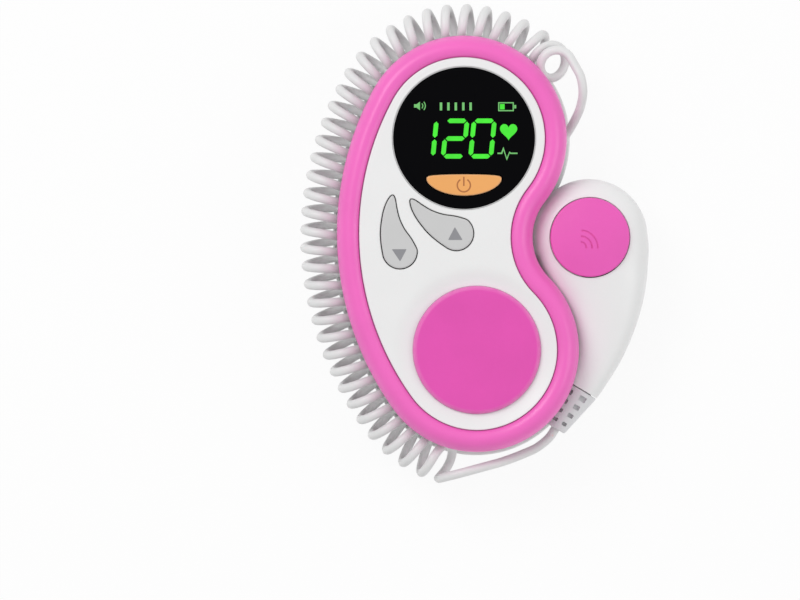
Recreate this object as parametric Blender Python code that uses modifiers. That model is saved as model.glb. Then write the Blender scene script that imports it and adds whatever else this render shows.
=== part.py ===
"""Fetal doppler monitor: a kidney-shaped hand unit with a docked probe and a curly cord wound round it.

The unit lies on its back. +Z comes out of its face, +Y points to the display end and +X to the probe.
The origin is on the flat back, half way between the two lobes. Units are metres.
"""
import math

import bmesh
import bpy
import numpy as np
from mathutils import Matrix, Vector

MM = 0.001

# Body outline: two lobes, a long side arc that wraps both, and a waist arc that the probe head fills
UPPER_CENTRE = Vector((-1.9 * MM, 33.9 * MM))
LOWER_CENTRE = Vector((2.2 * MM, -33.9 * MM))
UPPER_RADIUS = 33.0 * MM
LOWER_RADIUS = 32.8 * MM
SIDE_RADIUS = 97.0 * MM
PROBE_HEAD_RADIUS = 18.9 * MM
RING_OVER_HEAD = 0.5 * MM
LOBE_STEPS = 19
SIDE_STEPS = 9
WAIST_STEPS = 8

# Clearances
SEAT_GAP = 0.3 * MM
SLIDE_GAP = 0.35 * MM
OVERRUN = 1.0 * MM
SINK = 0.5 * MM
WELD_DISTANCE = 0.002 * MM
LEVEL_TOLERANCE = 0.01 * MM
FLAT_ANGLE = math.radians(0.5)
RIM_ANGLE = math.radians(30.0)
LEAN_LIMIT = math.cos(math.radians(60.0))
SHARP_ANGLE = math.radians(35.0)
SOFT_SHARP_ANGLE = math.radians(50.0)

# Rear shell and centre frame
WALL = 2.0 * MM
REAR_DEPTH = 6.0 * MM
REAR_FLOOR = 2.4 * MM
REAR_ROUNDING = 2.6 * MM
FLANGE_REACH = 1.5 * MM
FLANGE_WAIST_RADIUS = 26.0 * MM
FLANGE_THICKNESS = 2.0 * MM
GROOVE_WIDTH = 15.9 * MM
GROOVE_DEPTH = 4.8 * MM

# Bezel ring and face
RING_WIDTH = 6.8 * MM
RING_HEIGHT = 8.5 * MM
FACE_DROP = 0.8 * MM
FACE_THICKNESS = 2.5 * MM
FACE_ROUNDING = 0.8 * MM
SKIRT_WALL = 1.8 * MM
SKIRT_DEPTH = 6.0 * MM
# Section of the ring from its outer foot over the crest to its inner foot, as shares of width and height
RING_SECTION_SHARES = (
    (0.0, 0.0), (0.0, 0.30), (0.06, 0.54), (0.19, 0.77), (0.37, 0.93), (0.57, 1.0),
    (0.78, 0.98), (0.93, 0.90), (1.0, 0.79), (1.0, 0.0),
)

# Display
WINDOW_SHARE = 0.688
WINDOW_RADIUS = UPPER_RADIUS * WINDOW_SHARE
WINDOW_THICKNESS = 1.2 * MM
WINDOW_ROUNDING = 0.3 * MM
WINDOW_STEPS = 44
DISPLAY_WIDTH_SHARE = 1.1515
DISPLAY_HEIGHT_SHARE = 0.6667
DISPLAY_RISE_SHARE = 0.0758
DISPLAY_WIDTH = UPPER_RADIUS * DISPLAY_WIDTH_SHARE
DISPLAY_HEIGHT = UPPER_RADIUS * DISPLAY_HEIGHT_SHARE
DISPLAY_RISE = UPPER_RADIUS * DISPLAY_RISE_SHARE
DISPLAY_THICKNESS = 2.4 * MM
DISPLAY_LEG_DEPTH = 1.8 * MM

# Buttons
BUTTON_GAP = 0.3 * MM
BUTTON_PROUD = 0.7 * MM
BUTTON_ROUNDING = 0.5 * MM
BUTTON_LIP = 0.9 * MM
BUTTON_LIP_THICKNESS = 0.9 * MM
BUTTON_TRAVEL = 0.8 * MM
BUTTON_STEM_RADIUS = 1.8 * MM
BUTTON_STEM_LENGTH = 1.5 * MM
POWER_PLACE_SHARE = Vector((0.0, -0.4))
POWER_WIDTH_SHARE = 0.7303
POWER_RISE_SHARE = 0.0485
POWER_DROP_SHARE = 0.1758
POWER_CENTRE = UPPER_CENTRE + POWER_PLACE_SHARE * UPPER_RADIUS
POWER_WIDTH = UPPER_RADIUS * POWER_WIDTH_SHARE
POWER_RISE = UPPER_RADIUS * POWER_RISE_SHARE
POWER_DROP = UPPER_RADIUS * POWER_DROP_SHARE
POWER_TOP_POWER = 0.4
POWER_BOTTOM_POWER = 1.2
POWER_STEPS = 14
POWER_STEM_DROP = 2.2 * MM
VOLUME_LENGTH_SHARE = 0.7152
VOLUME_DOWN_TIP_SHARE = Vector((-0.6939, -0.5545))
VOLUME_UP_TIP_SHARE = Vector((-0.5182, -0.5970))
VOLUME_LENGTH = UPPER_RADIUS * VOLUME_LENGTH_SHARE
VOLUME_DOWN_TIP = UPPER_CENTRE + VOLUME_DOWN_TIP_SHARE * UPPER_RADIUS
VOLUME_UP_TIP = UPPER_CENTRE + VOLUME_UP_TIP_SHARE * UPPER_RADIUS
VOLUME_DOWN_ANGLE = math.radians(-82.5)
VOLUME_UP_ANGLE = math.radians(-36.4)
# Teardrop: distance from the tip, bow of the middle line and half width, as shares of the length
TEARDROP_SHARES = (
    (0.051, 0.018, 0.043), (0.156, 0.048, 0.077), (0.330, 0.070, 0.118),
    (0.482, 0.062, 0.160), (0.622, 0.030, 0.203),
)
TEARDROP_END_SHARE = 0.230
TEARDROP_END_STEPS = 12

# Circuit board and its switches
BOARD_THICKNESS = 1.6 * MM
BOARD_SHARE = 0.703
BOARD_DROP_SHARE = 1.3333
BOARD_LEFT_SHARE = 0.803
BOARD_RIGHT_SHARE = 0.4545
BOARD_RADIUS = UPPER_RADIUS * BOARD_SHARE
BOARD_DROP = UPPER_RADIUS * BOARD_DROP_SHARE
BOARD_LEFT = UPPER_RADIUS * BOARD_LEFT_SHARE
BOARD_RIGHT = UPPER_RADIUS * BOARD_RIGHT_SHARE
SWITCH_SIDE = 6.0 * MM
SWITCH_HEIGHT = 2.6 * MM
SWITCH_TIP_RADIUS = 1.6 * MM
SWITCH_TIP_HEIGHT = 1.0 * MM
CHIP_SIDE = 9.0 * MM
CHIP_HEIGHT = 1.2 * MM
CHIP_PLACE_SHARE = Vector((-0.325, -1.135))
CHIP_OFFSET = CHIP_PLACE_SHARE * UPPER_RADIUS

# Case screws, with their posts in the rear shell and bosses under the face
SCREW_RADIUS = 1.1 * MM
SCREW_HEAD_RADIUS = 2.3 * MM
SCREW_HEAD_HEIGHT = 1.6 * MM
SCREW_HEAD_INSET = 0.6 * MM
SCREW_BITE = 4.5 * MM
SCREW_STEPS = 12
POST_RADIUS = 3.4 * MM
BOSS_RADIUS = 2.8 * MM
UPPER_SCREW_SHARE = 0.6212
UPPER_SCREW_REACH = UPPER_RADIUS * UPPER_SCREW_SHARE
UPPER_SCREW_ANGLES = (math.radians(62.0), math.radians(118.0))
LOWER_SCREW_SHARE = 0.6189
LOWER_SCREW_REACH = LOWER_RADIUS * LOWER_SCREW_SHARE
LOWER_SCREW_ANGLES = (math.radians(-11.0), math.radians(191.0))

# Loudspeaker and its cover
COVER_SHARE = 0.625
COVER_RADIUS = LOWER_RADIUS * COVER_SHARE
COVER_THICKNESS = 1.3 * MM
COVER_CROWN = 0.5 * MM
COVER_ROUNDING = 0.9 * MM
COVER_CROWN_SHARES = ((0.0, 1.0), (0.5, 0.8))
COVER_STEPS = 40
EDGE_STEPS = 3
SPEAKER_SHARE = 0.503
SPEAKER_RADIUS = LOWER_RADIUS * SPEAKER_SHARE
SPEAKER_DEPTH = 7.0 * MM
SPEAKER_RIM = 1.6 * MM
SPEAKER_WALL = 0.8 * MM
SPEAKER_MAGNET_RADIUS = 8.5 * MM
SPEAKER_MAGNET_HEIGHT = 3.4 * MM
CONE_INSET = 1.4 * MM
CONE_THICKNESS = 0.5 * MM
DUST_CAP_RISE = 0.5 * MM
SPEAKER_STEPS = 28

# Two AAA cells in a tray behind a sliding door
CELL_RADIUS_SHARE = 0.16
CELL_LENGTH_SHARE = 1.3567
CELL_RADIUS = LOWER_RADIUS * CELL_RADIUS_SHARE
CELL_LENGTH = LOWER_RADIUS * CELL_LENGTH_SHARE
CELL_NUB_RADIUS = 1.9 * MM
CELL_NUB_LENGTH = 1.0 * MM
CELL_STEPS = 16
CELL_SIDE_GAP = 0.3 * MM
TRAY_WALL = 1.0 * MM
TRAY_END_ROOM = 1.6 * MM
CELL_SHIFT = 0.6 * MM
TRAY_RISE_SHARE = 0.0762
TRAY_RISE = LOWER_RADIUS * TRAY_RISE_SHARE
CONTACT_SIDE = 7.5 * MM
CONTACT_THICKNESS = 0.4 * MM
SPRING_RADIUS = 3.0 * MM
SPRING_TIP_RADIUS = 1.8 * MM
DOOR_THICKNESS = 2.0 * MM
DOOR_MARGIN = 1.6 * MM
DOOR_TONGUE = 1.0 * MM
DOOR_TONGUE_THICKNESS = 0.6 * MM
DOOR_TONGUE_START = 19.0 * MM
DOOR_GRIP_WIDTH = 12.0 * MM
DOOR_GRIP_RIB = 1.0 * MM
DOOR_GRIP_PITCH = 2.2 * MM
DOOR_GRIP_DEPTH = 0.5 * MM
DOOR_GRIP_COUNT = 4
DOOR_GRIP_START = 7.0 * MM

# Cord gland in the groove
GLAND_ANGLE = math.radians(-19.0)
GLAND_LENGTH = 7.0 * MM
GLAND_RADIUS = 2.1 * MM
GLAND_NOSE_LENGTH = 3.0 * MM
GLAND_NOSE_RADIUS = 1.75 * MM
GLAND_HEIGHT = 7.0 * MM
GLAND_ROUNDING = 0.5 * MM

# Cradle that the probe head docks in
CRADLE_START = math.radians(147.0)
CRADLE_END = math.radians(199.0)
CRADLE_STEPS = 12

# Probe; its handle ends and its strain relief ends a reach outside the lower lobe, at an angle round it
HANDLE_END_REACH = 2.73 * MM
HANDLE_END_ANGLE = math.radians(-20.44)
NECK_RADIUS = 6.5 * MM
PROBE_WALL = 1.6 * MM
PROBE_RISE = 12.3 * MM
PROBE_DROP = 7.6 * MM
PROBE_SEAM = 0.3 * MM
PROBE_TIP_STEPS = 6
PROBE_SECTION_STEPS = 12
PROBE_FRONT_POWER = 2.6
PROBE_REAR_POWER = 4.5
# Handle: distance from the head's centre, bow to the right, width left above the neck's, and front height
# left above the neck's, each as a share
HANDLE_SHARES = (
    (0.0, 0.0, 1.0, 1.0), (0.135, 0.037, 0.948, 0.94), (0.245, 0.066, 0.832, 0.80),
    (0.375, 0.095, 0.663, 0.60), (0.506, 0.106, 0.495, 0.42), (0.639, 0.104, 0.326, 0.27),
    (0.765, 0.086, 0.184, 0.15), (0.893, 0.047, 0.067, 0.05), (1.0, 0.0, 0.0, 0.0),
)
CAP_RADIUS = 12.7 * MM
CAP_RISE = 0.9 * MM
CAP_CROWN = 1.1 * MM
CAP_CROWN_SHARES = ((0.0, 0.0), (0.5, 0.25))
CAP_ROUNDING = 0.6 * MM
CAP_SEAT_DROP = 2.6 * MM
CAP_SEAT_THICKNESS = 1.6 * MM
CAP_SEAT_MARGIN = 1.2 * MM
CAP_SEAT_HOLE_RADIUS = 9.0 * MM
CAP_STEPS = 36
LENS_SHARE = 0.7407
LENS_RADIUS = PROBE_HEAD_RADIUS * LENS_SHARE
LENS_FLOOR = 1.4 * MM
LENS_WALL = 1.0 * MM
LENS_FLANGE = 1.3 * MM
LENS_FLANGE_THICKNESS = 1.2 * MM
LENS_FLANGE_SLANT = 1.25
LENS_LIFT = 2.2 * MM
LENS_ROUNDING = 0.8 * MM
CRYSTAL_SHARE = 0.75
CRYSTAL_RADIUS = LENS_RADIUS * CRYSTAL_SHARE
CRYSTAL_THICKNESS = 2.0 * MM
CRYSTAL_GAP = 1.2 * MM
CRYSTAL_STEPS = 14
HOLDER_TOP = 12.0 * MM
HOLDER_WALL = 2.0 * MM
PROBE_SCREW_SHARES = (0.42, 0.80)
PROBE_SCREW_RADIUS = 0.9 * MM
PROBE_SCREW_HEAD_RADIUS = 1.6 * MM
PROBE_SCREW_HEAD_HEIGHT = 1.0 * MM
PROBE_SCREW_BITE = 3.0 * MM
PROBE_POST_RADIUS = 2.4 * MM
RELIEF_END_REACH = 3.21 * MM
RELIEF_END_ANGLE = math.radians(-44.97)
RELIEF_END_RADIUS = 3.4 * MM
RELIEF_PLUG_RADIUS = 4.4 * MM
RELIEF_PLUG_LENGTH = 3.5 * MM
RELIEF_STEPS = 20
SLOT_ROWS = 4
SLOT_FIRST = 2.6 * MM
SLOT_PITCH = 3.3 * MM
SLOT_DEPTH = 2.2 * MM
SLOT_WIDTH_SHARE = 0.40
SLOT_SPREAD_SHARE = 0.42
SLOT_LENGTH_SHARE = 0.30

# Cord
CORD_RADIUS = 1.45 * MM
CORD_GAP = 0.3 * MM
CURL_COUNT = 38
CURL_RADIUS = 5.95 * MM
CURL_AXIS_REACH = 2.8 * MM
CURL_DRIFT = 1.9 * MM
DRIFT_LENGTH = 130.0 * MM
CURL_POINTS = 9
FIRST_CURL_RADIUS = 5.0 * MM
FIRST_CURL_REACH = 2.2 * MM
FIRST_CURL_STRETCH = 1.40
TURN_IN_RADIUS = 10.0 * MM
SETTLE_LENGTH = 27.0 * MM
CURL_START_ANGLE = math.radians(38.0)
CURL_END_ANGLE = math.radians(256.9)
CURL_PHASE_START = math.radians(-16.0)
CURL_PHASE_END = math.radians(90.0)
RELEASE_TURN = math.radians(370.0)
RELEASE_REACH = 1.7 * MM
RELEASE_ONWARD = 5.2 * MM
RELEASE_SWELL = 0.9 * MM
RELEASE_SWING = math.radians(-58.0)
CURL_SAMPLES = 4000
LEAD_POINT_STEP = 2.9 * MM
LEAD_LEAST_POINTS = 8
# Hand-chosen points of the plain leads between their straight ends: reach outside the lobe, angle round it
# and height
UNIT_LEAD_ROUTE = (
    (2.7 * MM, math.radians(8.3), 18.8 * MM), (6.1 * MM, math.radians(15.8), 23.4 * MM),
    (8.5 * MM, math.radians(23.2), 26.8 * MM),
)
PROBE_LEAD_ROUTE = (
    (4.26 * MM, math.radians(-78.0), 21.0 * MM), (4.02 * MM, math.radians(-67.4), 19.0 * MM),
    (4.33 * MM, math.radians(-57.0), 17.3 * MM),
)

# Levels up the unit, from the back
FLANGE_BOTTOM = REAR_DEPTH + SEAT_GAP
FLANGE_TOP = FLANGE_BOTTOM + FLANGE_THICKNESS
FRAME_TOP = FLANGE_TOP + GROOVE_WIDTH
RING_BOTTOM = FRAME_TOP + SEAT_GAP
RING_TOP = RING_BOTTOM + RING_HEIGHT
FACE_TOP = RING_TOP - FACE_DROP
FACE_BOTTOM = FACE_TOP - FACE_THICKNESS
LIP_TOP = FACE_BOTTOM - SEAT_GAP
LIP_BOTTOM = LIP_TOP - BUTTON_LIP_THICKNESS
STEM_BOTTOM = LIP_BOTTOM - BUTTON_STEM_LENGTH
SWITCH_TIP_TOP = STEM_BOTTOM - BUTTON_TRAVEL - SEAT_GAP
SWITCH_BOTTOM = SWITCH_TIP_TOP - SWITCH_TIP_HEIGHT - SWITCH_HEIGHT
BOARD_TOP = SWITCH_BOTTOM - SEAT_GAP
BOARD_BOTTOM = BOARD_TOP - BOARD_THICKNESS
POST_TOP = BOARD_BOTTOM - SEAT_GAP
BOSS_BOTTOM = BOARD_TOP + SEAT_GAP
GROOVE_MIDDLE = (FLANGE_TOP + FRAME_TOP) / 2.0
CURL_LEVEL = FLANGE_TOP + SEAT_GAP + CURL_RADIUS + CORD_RADIUS
WAIST_RADIUS = PROBE_HEAD_RADIUS - RING_OVER_HEAD
FACE_INSET = RING_WIDTH + SEAT_GAP
PROBE_SPLIT = GROOVE_MIDDLE
PROBE_TOP = PROBE_SPLIT + PROBE_RISE
PROBE_BOTTOM = PROBE_SPLIT - PROBE_DROP
CAP_SEAT = PROBE_TOP - CAP_SEAT_DROP


def circles_meet(first, first_reach, second, second_reach):
    """The point on the +X side that is first_reach from one point and second_reach from the other."""
    span = second - first
    distance = span.length
    along = (first_reach ** 2 - second_reach ** 2 + distance ** 2) / (2.0 * distance)
    across = math.sqrt(first_reach ** 2 - along ** 2)
    unit = span / distance
    side = Vector((-unit.y, unit.x))
    if side.x < 0.0:
        side = -side
    return first + unit * along + side * across


PROBE_CENTRE = circles_meet(
    UPPER_CENTRE, UPPER_RADIUS + WAIST_RADIUS, LOWER_CENTRE, LOWER_RADIUS + WAIST_RADIUS)
SIDE_CENTRE = circles_meet(
    UPPER_CENTRE, SIDE_RADIUS - UPPER_RADIUS, LOWER_CENTRE, SIDE_RADIUS - LOWER_RADIUS)


def polar(centre, radius, angle):
    """The point at an angle on a circle."""
    return Vector((centre.x + radius * math.cos(angle), centre.y + radius * math.sin(angle)))


def heading(start, end):
    """The angle of the line from one point to another."""
    return math.atan2(end.y - start.y, end.x - start.x)


NECK_PLACE = polar(LOWER_CENTRE, LOWER_RADIUS + HANDLE_END_REACH, HANDLE_END_ANGLE)
RELIEF_END_PLACE = polar(LOWER_CENTRE, LOWER_RADIUS + RELIEF_END_REACH, RELIEF_END_ANGLE)
HANDLE_LENGTH = (NECK_PLACE - PROBE_CENTRE).length
HANDLE_ANGLE = heading(PROBE_CENTRE, NECK_PLACE)
RELIEF_LENGTH = (RELIEF_END_PLACE - NECK_PLACE).length
RELIEF_ANGLE = heading(NECK_PLACE, RELIEF_END_PLACE)


def arc_points(centre, radius, start, end, steps):
    """Points along an arc, without its last one."""
    return [polar(centre, radius, start + (end - start) * step / steps) for step in range(steps)]


def body_arcs(inset, waist_radius):
    """The four arcs of the outline drawn in by inset, counter-clockwise from the upper lobe's waist end."""
    upper = UPPER_RADIUS - inset
    lower = LOWER_RADIUS - inset
    waist_centre = circles_meet(UPPER_CENTRE, upper + waist_radius, LOWER_CENTRE, lower + waist_radius)
    upper_side = heading(SIDE_CENTRE, UPPER_CENTRE) % math.tau
    lower_side = heading(SIDE_CENTRE, LOWER_CENTRE) % math.tau
    upper_waist = heading(UPPER_CENTRE, waist_centre)
    lower_waist = heading(LOWER_CENTRE, waist_centre)
    return (
        (UPPER_CENTRE, upper, upper_waist, upper_side, LOBE_STEPS),
        (SIDE_CENTRE, SIDE_RADIUS - inset, upper_side, lower_side, SIDE_STEPS),
        (LOWER_CENTRE, lower, lower_side, lower_waist + math.tau, LOBE_STEPS),
        (waist_centre, waist_radius, lower_waist + math.pi, upper_waist + math.pi, WAIST_STEPS),
    )


def body_outline(inset, waist_radius=None):
    """The closed body outline drawn in by inset; its waist arc keeps its centre unless a radius is given."""
    waist = WAIST_RADIUS + inset if waist_radius is None else waist_radius
    return [point for arc in body_arcs(inset, waist) for point in arc_points(*arc)]


def grown(outline, margin):
    """A closed counter-clockwise outline moved outwards by margin, each corner along its mean normal."""
    points = []
    for index, point in enumerate(outline):
        before = (point - outline[index - 1]).normalized()
        after = (outline[(index + 1) % len(outline)] - point).normalized()
        normal = Vector((before.y + after.y, -before.x - after.x)).normalized()
        lean = max(normal.dot(Vector((before.y, -before.x))), LEAN_LIMIT)
        points.append(point + normal * (margin / lean))
    return points


def start_scene():
    """Clears the scene and makes the two collections."""
    for leftover in list(bpy.data.objects):
        bpy.data.objects.remove(leftover, do_unlink=True)
    parts = bpy.data.collections.new("fetal_doppler_monitor")
    shapers = bpy.data.collections.new("cutters")
    for group in (parts, shapers):
        bpy.context.scene.collection.children.link(group)
    return parts, shapers


PARTS, SHAPERS = start_scene()


def linear(channel):
    """One colour channel from 0..255 display values to linear light."""
    share = channel / 255.0
    return share / 12.92 if share <= 0.04045 else ((share + 0.055) / 1.055) ** 2.4


def material(name, red, green, blue, roughness, metallic=0.0):
    """A plain principled material."""
    made = bpy.data.materials.new(name)
    made.use_nodes = True
    shader = made.node_tree.nodes["Principled BSDF"]
    colour = (linear(red), linear(green), linear(blue), 1.0)
    shader.inputs["Base Color"].default_value = colour
    shader.inputs["Roughness"].default_value = roughness
    shader.inputs["Metallic"].default_value = metallic
    made.diffuse_color = colour
    return made


WHITE = material("white_plastic", 235, 235, 235, 0.38)
PINK = material("pink_plastic", 238, 108, 192, 0.35)
DEEP_PINK = material("deep_pink_plastic", 224, 88, 178, 0.40)
BLACK_GLASS = material("black_glass", 10, 10, 12, 0.08)
ORANGE = material("orange_plastic", 242, 170, 92, 0.40)
GREY = material("grey_plastic", 203, 203, 203, 0.42)
BOARD_GREEN = material("board_green", 32, 96, 58, 0.45)
DARK = material("dark_plastic", 36, 36, 40, 0.45)
STEEL = material("steel", 190, 192, 196, 0.30, 1.0)
PAPER = material("speaker_paper", 60, 58, 56, 0.85)
CELL_JACKET = material("cell_jacket", 70, 88, 120, 0.35, 0.3)
CERAMIC = material("crystal_ceramic", 206, 196, 170, 0.55)
LENS_GREY = material("lens_grey", 178, 184, 188, 0.35)
CORD_WHITE = material("cord_white", 222, 220, 220, 0.45)


def empty(name, location):
    """An empty that pieces hang on."""
    marker = bpy.data.objects.new(name, None)
    marker.location = location
    PARTS.objects.link(marker)
    return marker


UNIT_DATUM = empty("unit_datum", Vector((0.0, 0.0, 0.0)))
PROBE_DATUM = empty("probe_datum", Vector((PROBE_CENTRE.x, PROBE_CENTRE.y, 0.0)))


def shaper(piece):
    """Marks an object that only cuts or joins another."""
    for group in piece.users_collection:
        group.objects.unlink(piece)
    SHAPERS.objects.link(piece)
    piece.hide_render = True
    piece.display_type = "WIRE"
    return piece


def finish(piece, name, surface, datum=None, origin=None, sharp=SHARP_ANGLE):
    """Names a piece, gives it its material and parent, and sets its origin without moving its shape."""
    datum = datum or UNIT_DATUM
    piece.name = name
    piece.data.name = name
    piece.data.materials.clear()
    piece.data.materials.append(surface)
    if origin is not None:
        piece.data.transform(Matrix.Translation(piece.location - origin))
        piece.location = origin
    piece.location = piece.location - datum.location
    piece.parent = datum
    if piece.type == "MESH":
        piece.data.shade_smooth()
        piece.data.set_sharp_from_angle(angle=sharp)
    return piece


def mesh_object(name, mesh, group=None):
    """An object for a mesh."""
    made = bpy.data.objects.new(name, mesh)
    (group or PARTS).objects.link(made)
    return made


def tidy_mesh(mesh, dissolve=True):
    """Welds a mesh, joins its flat faces and points them outwards."""
    work = bmesh.new()
    work.from_mesh(mesh)
    bmesh.ops.remove_doubles(work, verts=work.verts, dist=WELD_DISTANCE)
    if dissolve:
        bmesh.ops.dissolve_limit(work, angle_limit=FLAT_ANGLE, verts=work.verts, edges=work.edges)
    bmesh.ops.recalc_face_normals(work, faces=work.faces)
    work.to_mesh(mesh)
    work.free()


def plate(name, loops, bottom, top, dissolve=True):
    """A flat outline, or one with holes, drawn up from bottom to top."""
    curve = bpy.data.curves.new(name, "CURVE")
    curve.dimensions = "2D"
    curve.fill_mode = "BOTH"
    curve.extrude = (top - bottom) / 2.0
    for loop in loops:
        spline = curve.splines.new("POLY")
        spline.points.add(len(loop) - 1)
        for point, place in zip(spline.points, loop):
            point.co = (place.x, place.y, 0.0, 1.0)
        spline.use_cyclic_u = True
    flat = bpy.data.objects.new(name, curve)
    flat.location = (0.0, 0.0, (bottom + top) / 2.0)
    PARTS.objects.link(flat)
    bpy.context.view_layer.update()
    evaluated = flat.evaluated_get(bpy.context.evaluated_depsgraph_get())
    mesh = bpy.data.meshes.new_from_object(evaluated)
    made = mesh_object(name, mesh)
    made.matrix_world = flat.matrix_world
    bpy.data.objects.remove(flat, do_unlink=True)
    tidy_mesh(mesh, dissolve)
    return made


def primitive_done(name):
    """Takes the primitive that was just added into the parts."""
    made = bpy.context.object
    for group in made.users_collection:
        group.objects.unlink(made)
    PARTS.objects.link(made)
    made.name = name
    return made


def apply_transform(piece):
    """Moves an object's rotation and scale into its mesh, and keeps its location."""
    turn = piece.matrix_basis.to_3x3().to_4x4()
    piece.data.transform(turn)
    piece.rotation_euler = (0.0, 0.0, 0.0)
    piece.scale = (1.0, 1.0, 1.0)
    return piece


def box(name, low, high):
    """A block between two corners."""
    low = Vector(low)
    high = Vector(high)
    bpy.ops.mesh.primitive_cube_add(size=1.0, location=(low + high) / 2.0)
    made = primitive_done(name)
    made.scale = high - low
    return apply_transform(made)


def rod(name, centre, radius, bottom, top, steps, top_radius=None):
    """An upright cylinder, or a cone where the top radius differs."""
    upper = radius if top_radius is None else top_radius
    bpy.ops.mesh.primitive_cone_add(
        vertices=steps, radius1=radius, radius2=upper, depth=top - bottom,
        location=(centre.x, centre.y, (bottom + top) / 2.0))
    return primitive_done(name)


def turned(name, profile, centre, steps):
    """A solid of revolution about an upright line; its profile of radius and height runs top to bottom."""
    mesh = bpy.data.meshes.new(name)
    points = [(radius, 0.0, height) for radius, height in profile]
    mesh.from_pydata(points, [(index, index + 1) for index in range(len(points) - 1)], [])
    made = mesh_object(name, mesh)
    made.location = (centre.x, centre.y, 0.0)
    screw = made.modifiers.new("turn", "SCREW")
    screw.axis = "Z"
    screw.steps = steps
    screw.render_steps = steps
    screw.use_merge_vertices = True
    screw.merge_threshold = WELD_DISTANCE
    return made


def rounded_edge(radius, level, rounding):
    """Profile points of a quarter-round outer edge whose arc's centre is at a level."""
    points = []
    for step in range(EDGE_STEPS + 1):
        angle = math.pi / 2.0 * (1.0 - step / EDGE_STEPS)
        points.append((radius - rounding + rounding * math.cos(angle), level + rounding * math.sin(angle)))
    return points


def baked(piece):
    """Turns an object's modifiers into its mesh."""
    bpy.context.view_layer.update()
    evaluated = piece.evaluated_get(bpy.context.evaluated_depsgraph_get())
    mesh = bpy.data.meshes.new_from_object(evaluated)
    piece.modifiers.clear()
    piece.data = mesh
    return piece


def combine(piece, other, operation):
    """Adds a Boolean modifier whose other object is out of the part."""
    step = piece.modifiers.new(other.name, "BOOLEAN")
    step.operation = operation
    step.solver = "EXACT"
    step.object = shaper(other)
    return piece


def cut(piece, other):
    """Cuts one shape out of a piece."""
    return combine(piece, other, "DIFFERENCE")


def join(piece, other):
    """Joins one shape to a piece."""
    return combine(piece, other, "UNION")


def round_rim(piece, level, width, segments=3):
    """Rounds the sharp edges of a mesh that lie at one height."""
    work = bmesh.new()
    work.from_mesh(piece.data)
    base = piece.location.z
    rim = []
    for edge in work.edges:
        flat = all(abs(vert.co.z + base - level) < LEVEL_TOLERANCE for vert in edge.verts)
        if flat and len(edge.link_faces) == 2 and edge.calc_face_angle() > RIM_ANGLE:
            rim.append(edge)
    bmesh.ops.bevel(
        work, geom=rim, offset=width, segments=segments, profile=0.5, affect="EDGES", clamp_overlap=True)
    work.to_mesh(piece.data)
    work.free()
    return piece


def move_to(piece, centre, level, turn=None):
    """Puts a shape made about the origin at its place, turned first."""
    if turn is not None:
        piece.data.transform(turn.to_4x4())
    piece.data.transform(Matrix.Translation(piece.location))
    piece.location = (centre.x, centre.y, level)
    return piece


def screw_places():
    """The centres of the four case screws: two in the upper lobe, two in the lower."""
    upper = [polar(UPPER_CENTRE, UPPER_SCREW_REACH, angle) for angle in UPPER_SCREW_ANGLES]
    lower = [polar(LOWER_CENTRE, LOWER_SCREW_REACH, angle) for angle in LOWER_SCREW_ANGLES]
    return upper + lower


def tray_size():
    """The battery tray's half width and half length, outside its walls, and its centre."""
    half_width = 2.0 * CELL_RADIUS + 1.5 * CELL_SIDE_GAP + TRAY_WALL
    half_length = CELL_LENGTH / 2.0 + TRAY_END_ROOM + TRAY_WALL
    return half_width, half_length, Vector((LOWER_CENTRE.x, LOWER_CENTRE.y + TRAY_RISE))


def door_limits():
    """The door opening's left and right edges and its upper edge."""
    half_width, half_length, centre = tray_size()
    reach = half_width + DOOR_MARGIN
    return centre.x - reach, centre.x + reach, centre.y + half_length + DOOR_MARGIN


def rear_blank(name):
    """The rear shell's outer shape, solid."""
    blank = plate(name, [body_outline(-FLANGE_REACH, FLANGE_WAIST_RADIUS)], 0.0, REAR_DEPTH)
    return round_rim(blank, 0.0, REAR_ROUNDING)


def make_rear_shell():
    """The rear tray: flat back, rounded rim, screw posts, and the door's opening with its side slots."""
    shell = rear_blank("rear_shell")
    hollow = body_outline(WALL - FLANGE_REACH, FLANGE_WAIST_RADIUS + WALL)
    cut(shell, plate("rear_hollow", [hollow], REAR_FLOOR, REAR_DEPTH + OVERRUN))
    for index, place in enumerate(screw_places()):
        join(shell, rod(f"post_{index}", place, POST_RADIUS, REAR_FLOOR - SINK, POST_TOP, SCREW_STEPS))
    for index, place in enumerate(screw_places()):
        head_top = SCREW_HEAD_INSET + SCREW_HEAD_HEIGHT + SEAT_GAP
        cut(shell, rod(
            f"head_bore_{index}", place, SCREW_HEAD_RADIUS + SEAT_GAP, -OVERRUN, head_top, SCREW_STEPS))
        cut(shell, rod(
            f"shank_bore_{index}", place, SCREW_RADIUS + SEAT_GAP, -OVERRUN, POST_TOP + OVERRUN, SCREW_STEPS))
    left, right, top = door_limits()
    bottom = LOWER_CENTRE.y - LOWER_RADIUS - FLANGE_REACH - OVERRUN
    cut(shell, box("door_opening", (left, bottom, -OVERRUN), (right, top, REAR_FLOOR + SINK)))
    slot_middle = DOOR_THICKNESS / 2.0
    slot_half = DOOR_TONGUE_THICKNESS / 2.0 + SLIDE_GAP
    reach = DOOR_TONGUE + SEAT_GAP
    cut(shell, box(
        "door_slots", (left - reach, bottom, slot_middle - slot_half),
        (right + reach, top, slot_middle + slot_half)))
    return finish(shell, "rear_shell", WHITE)


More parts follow.
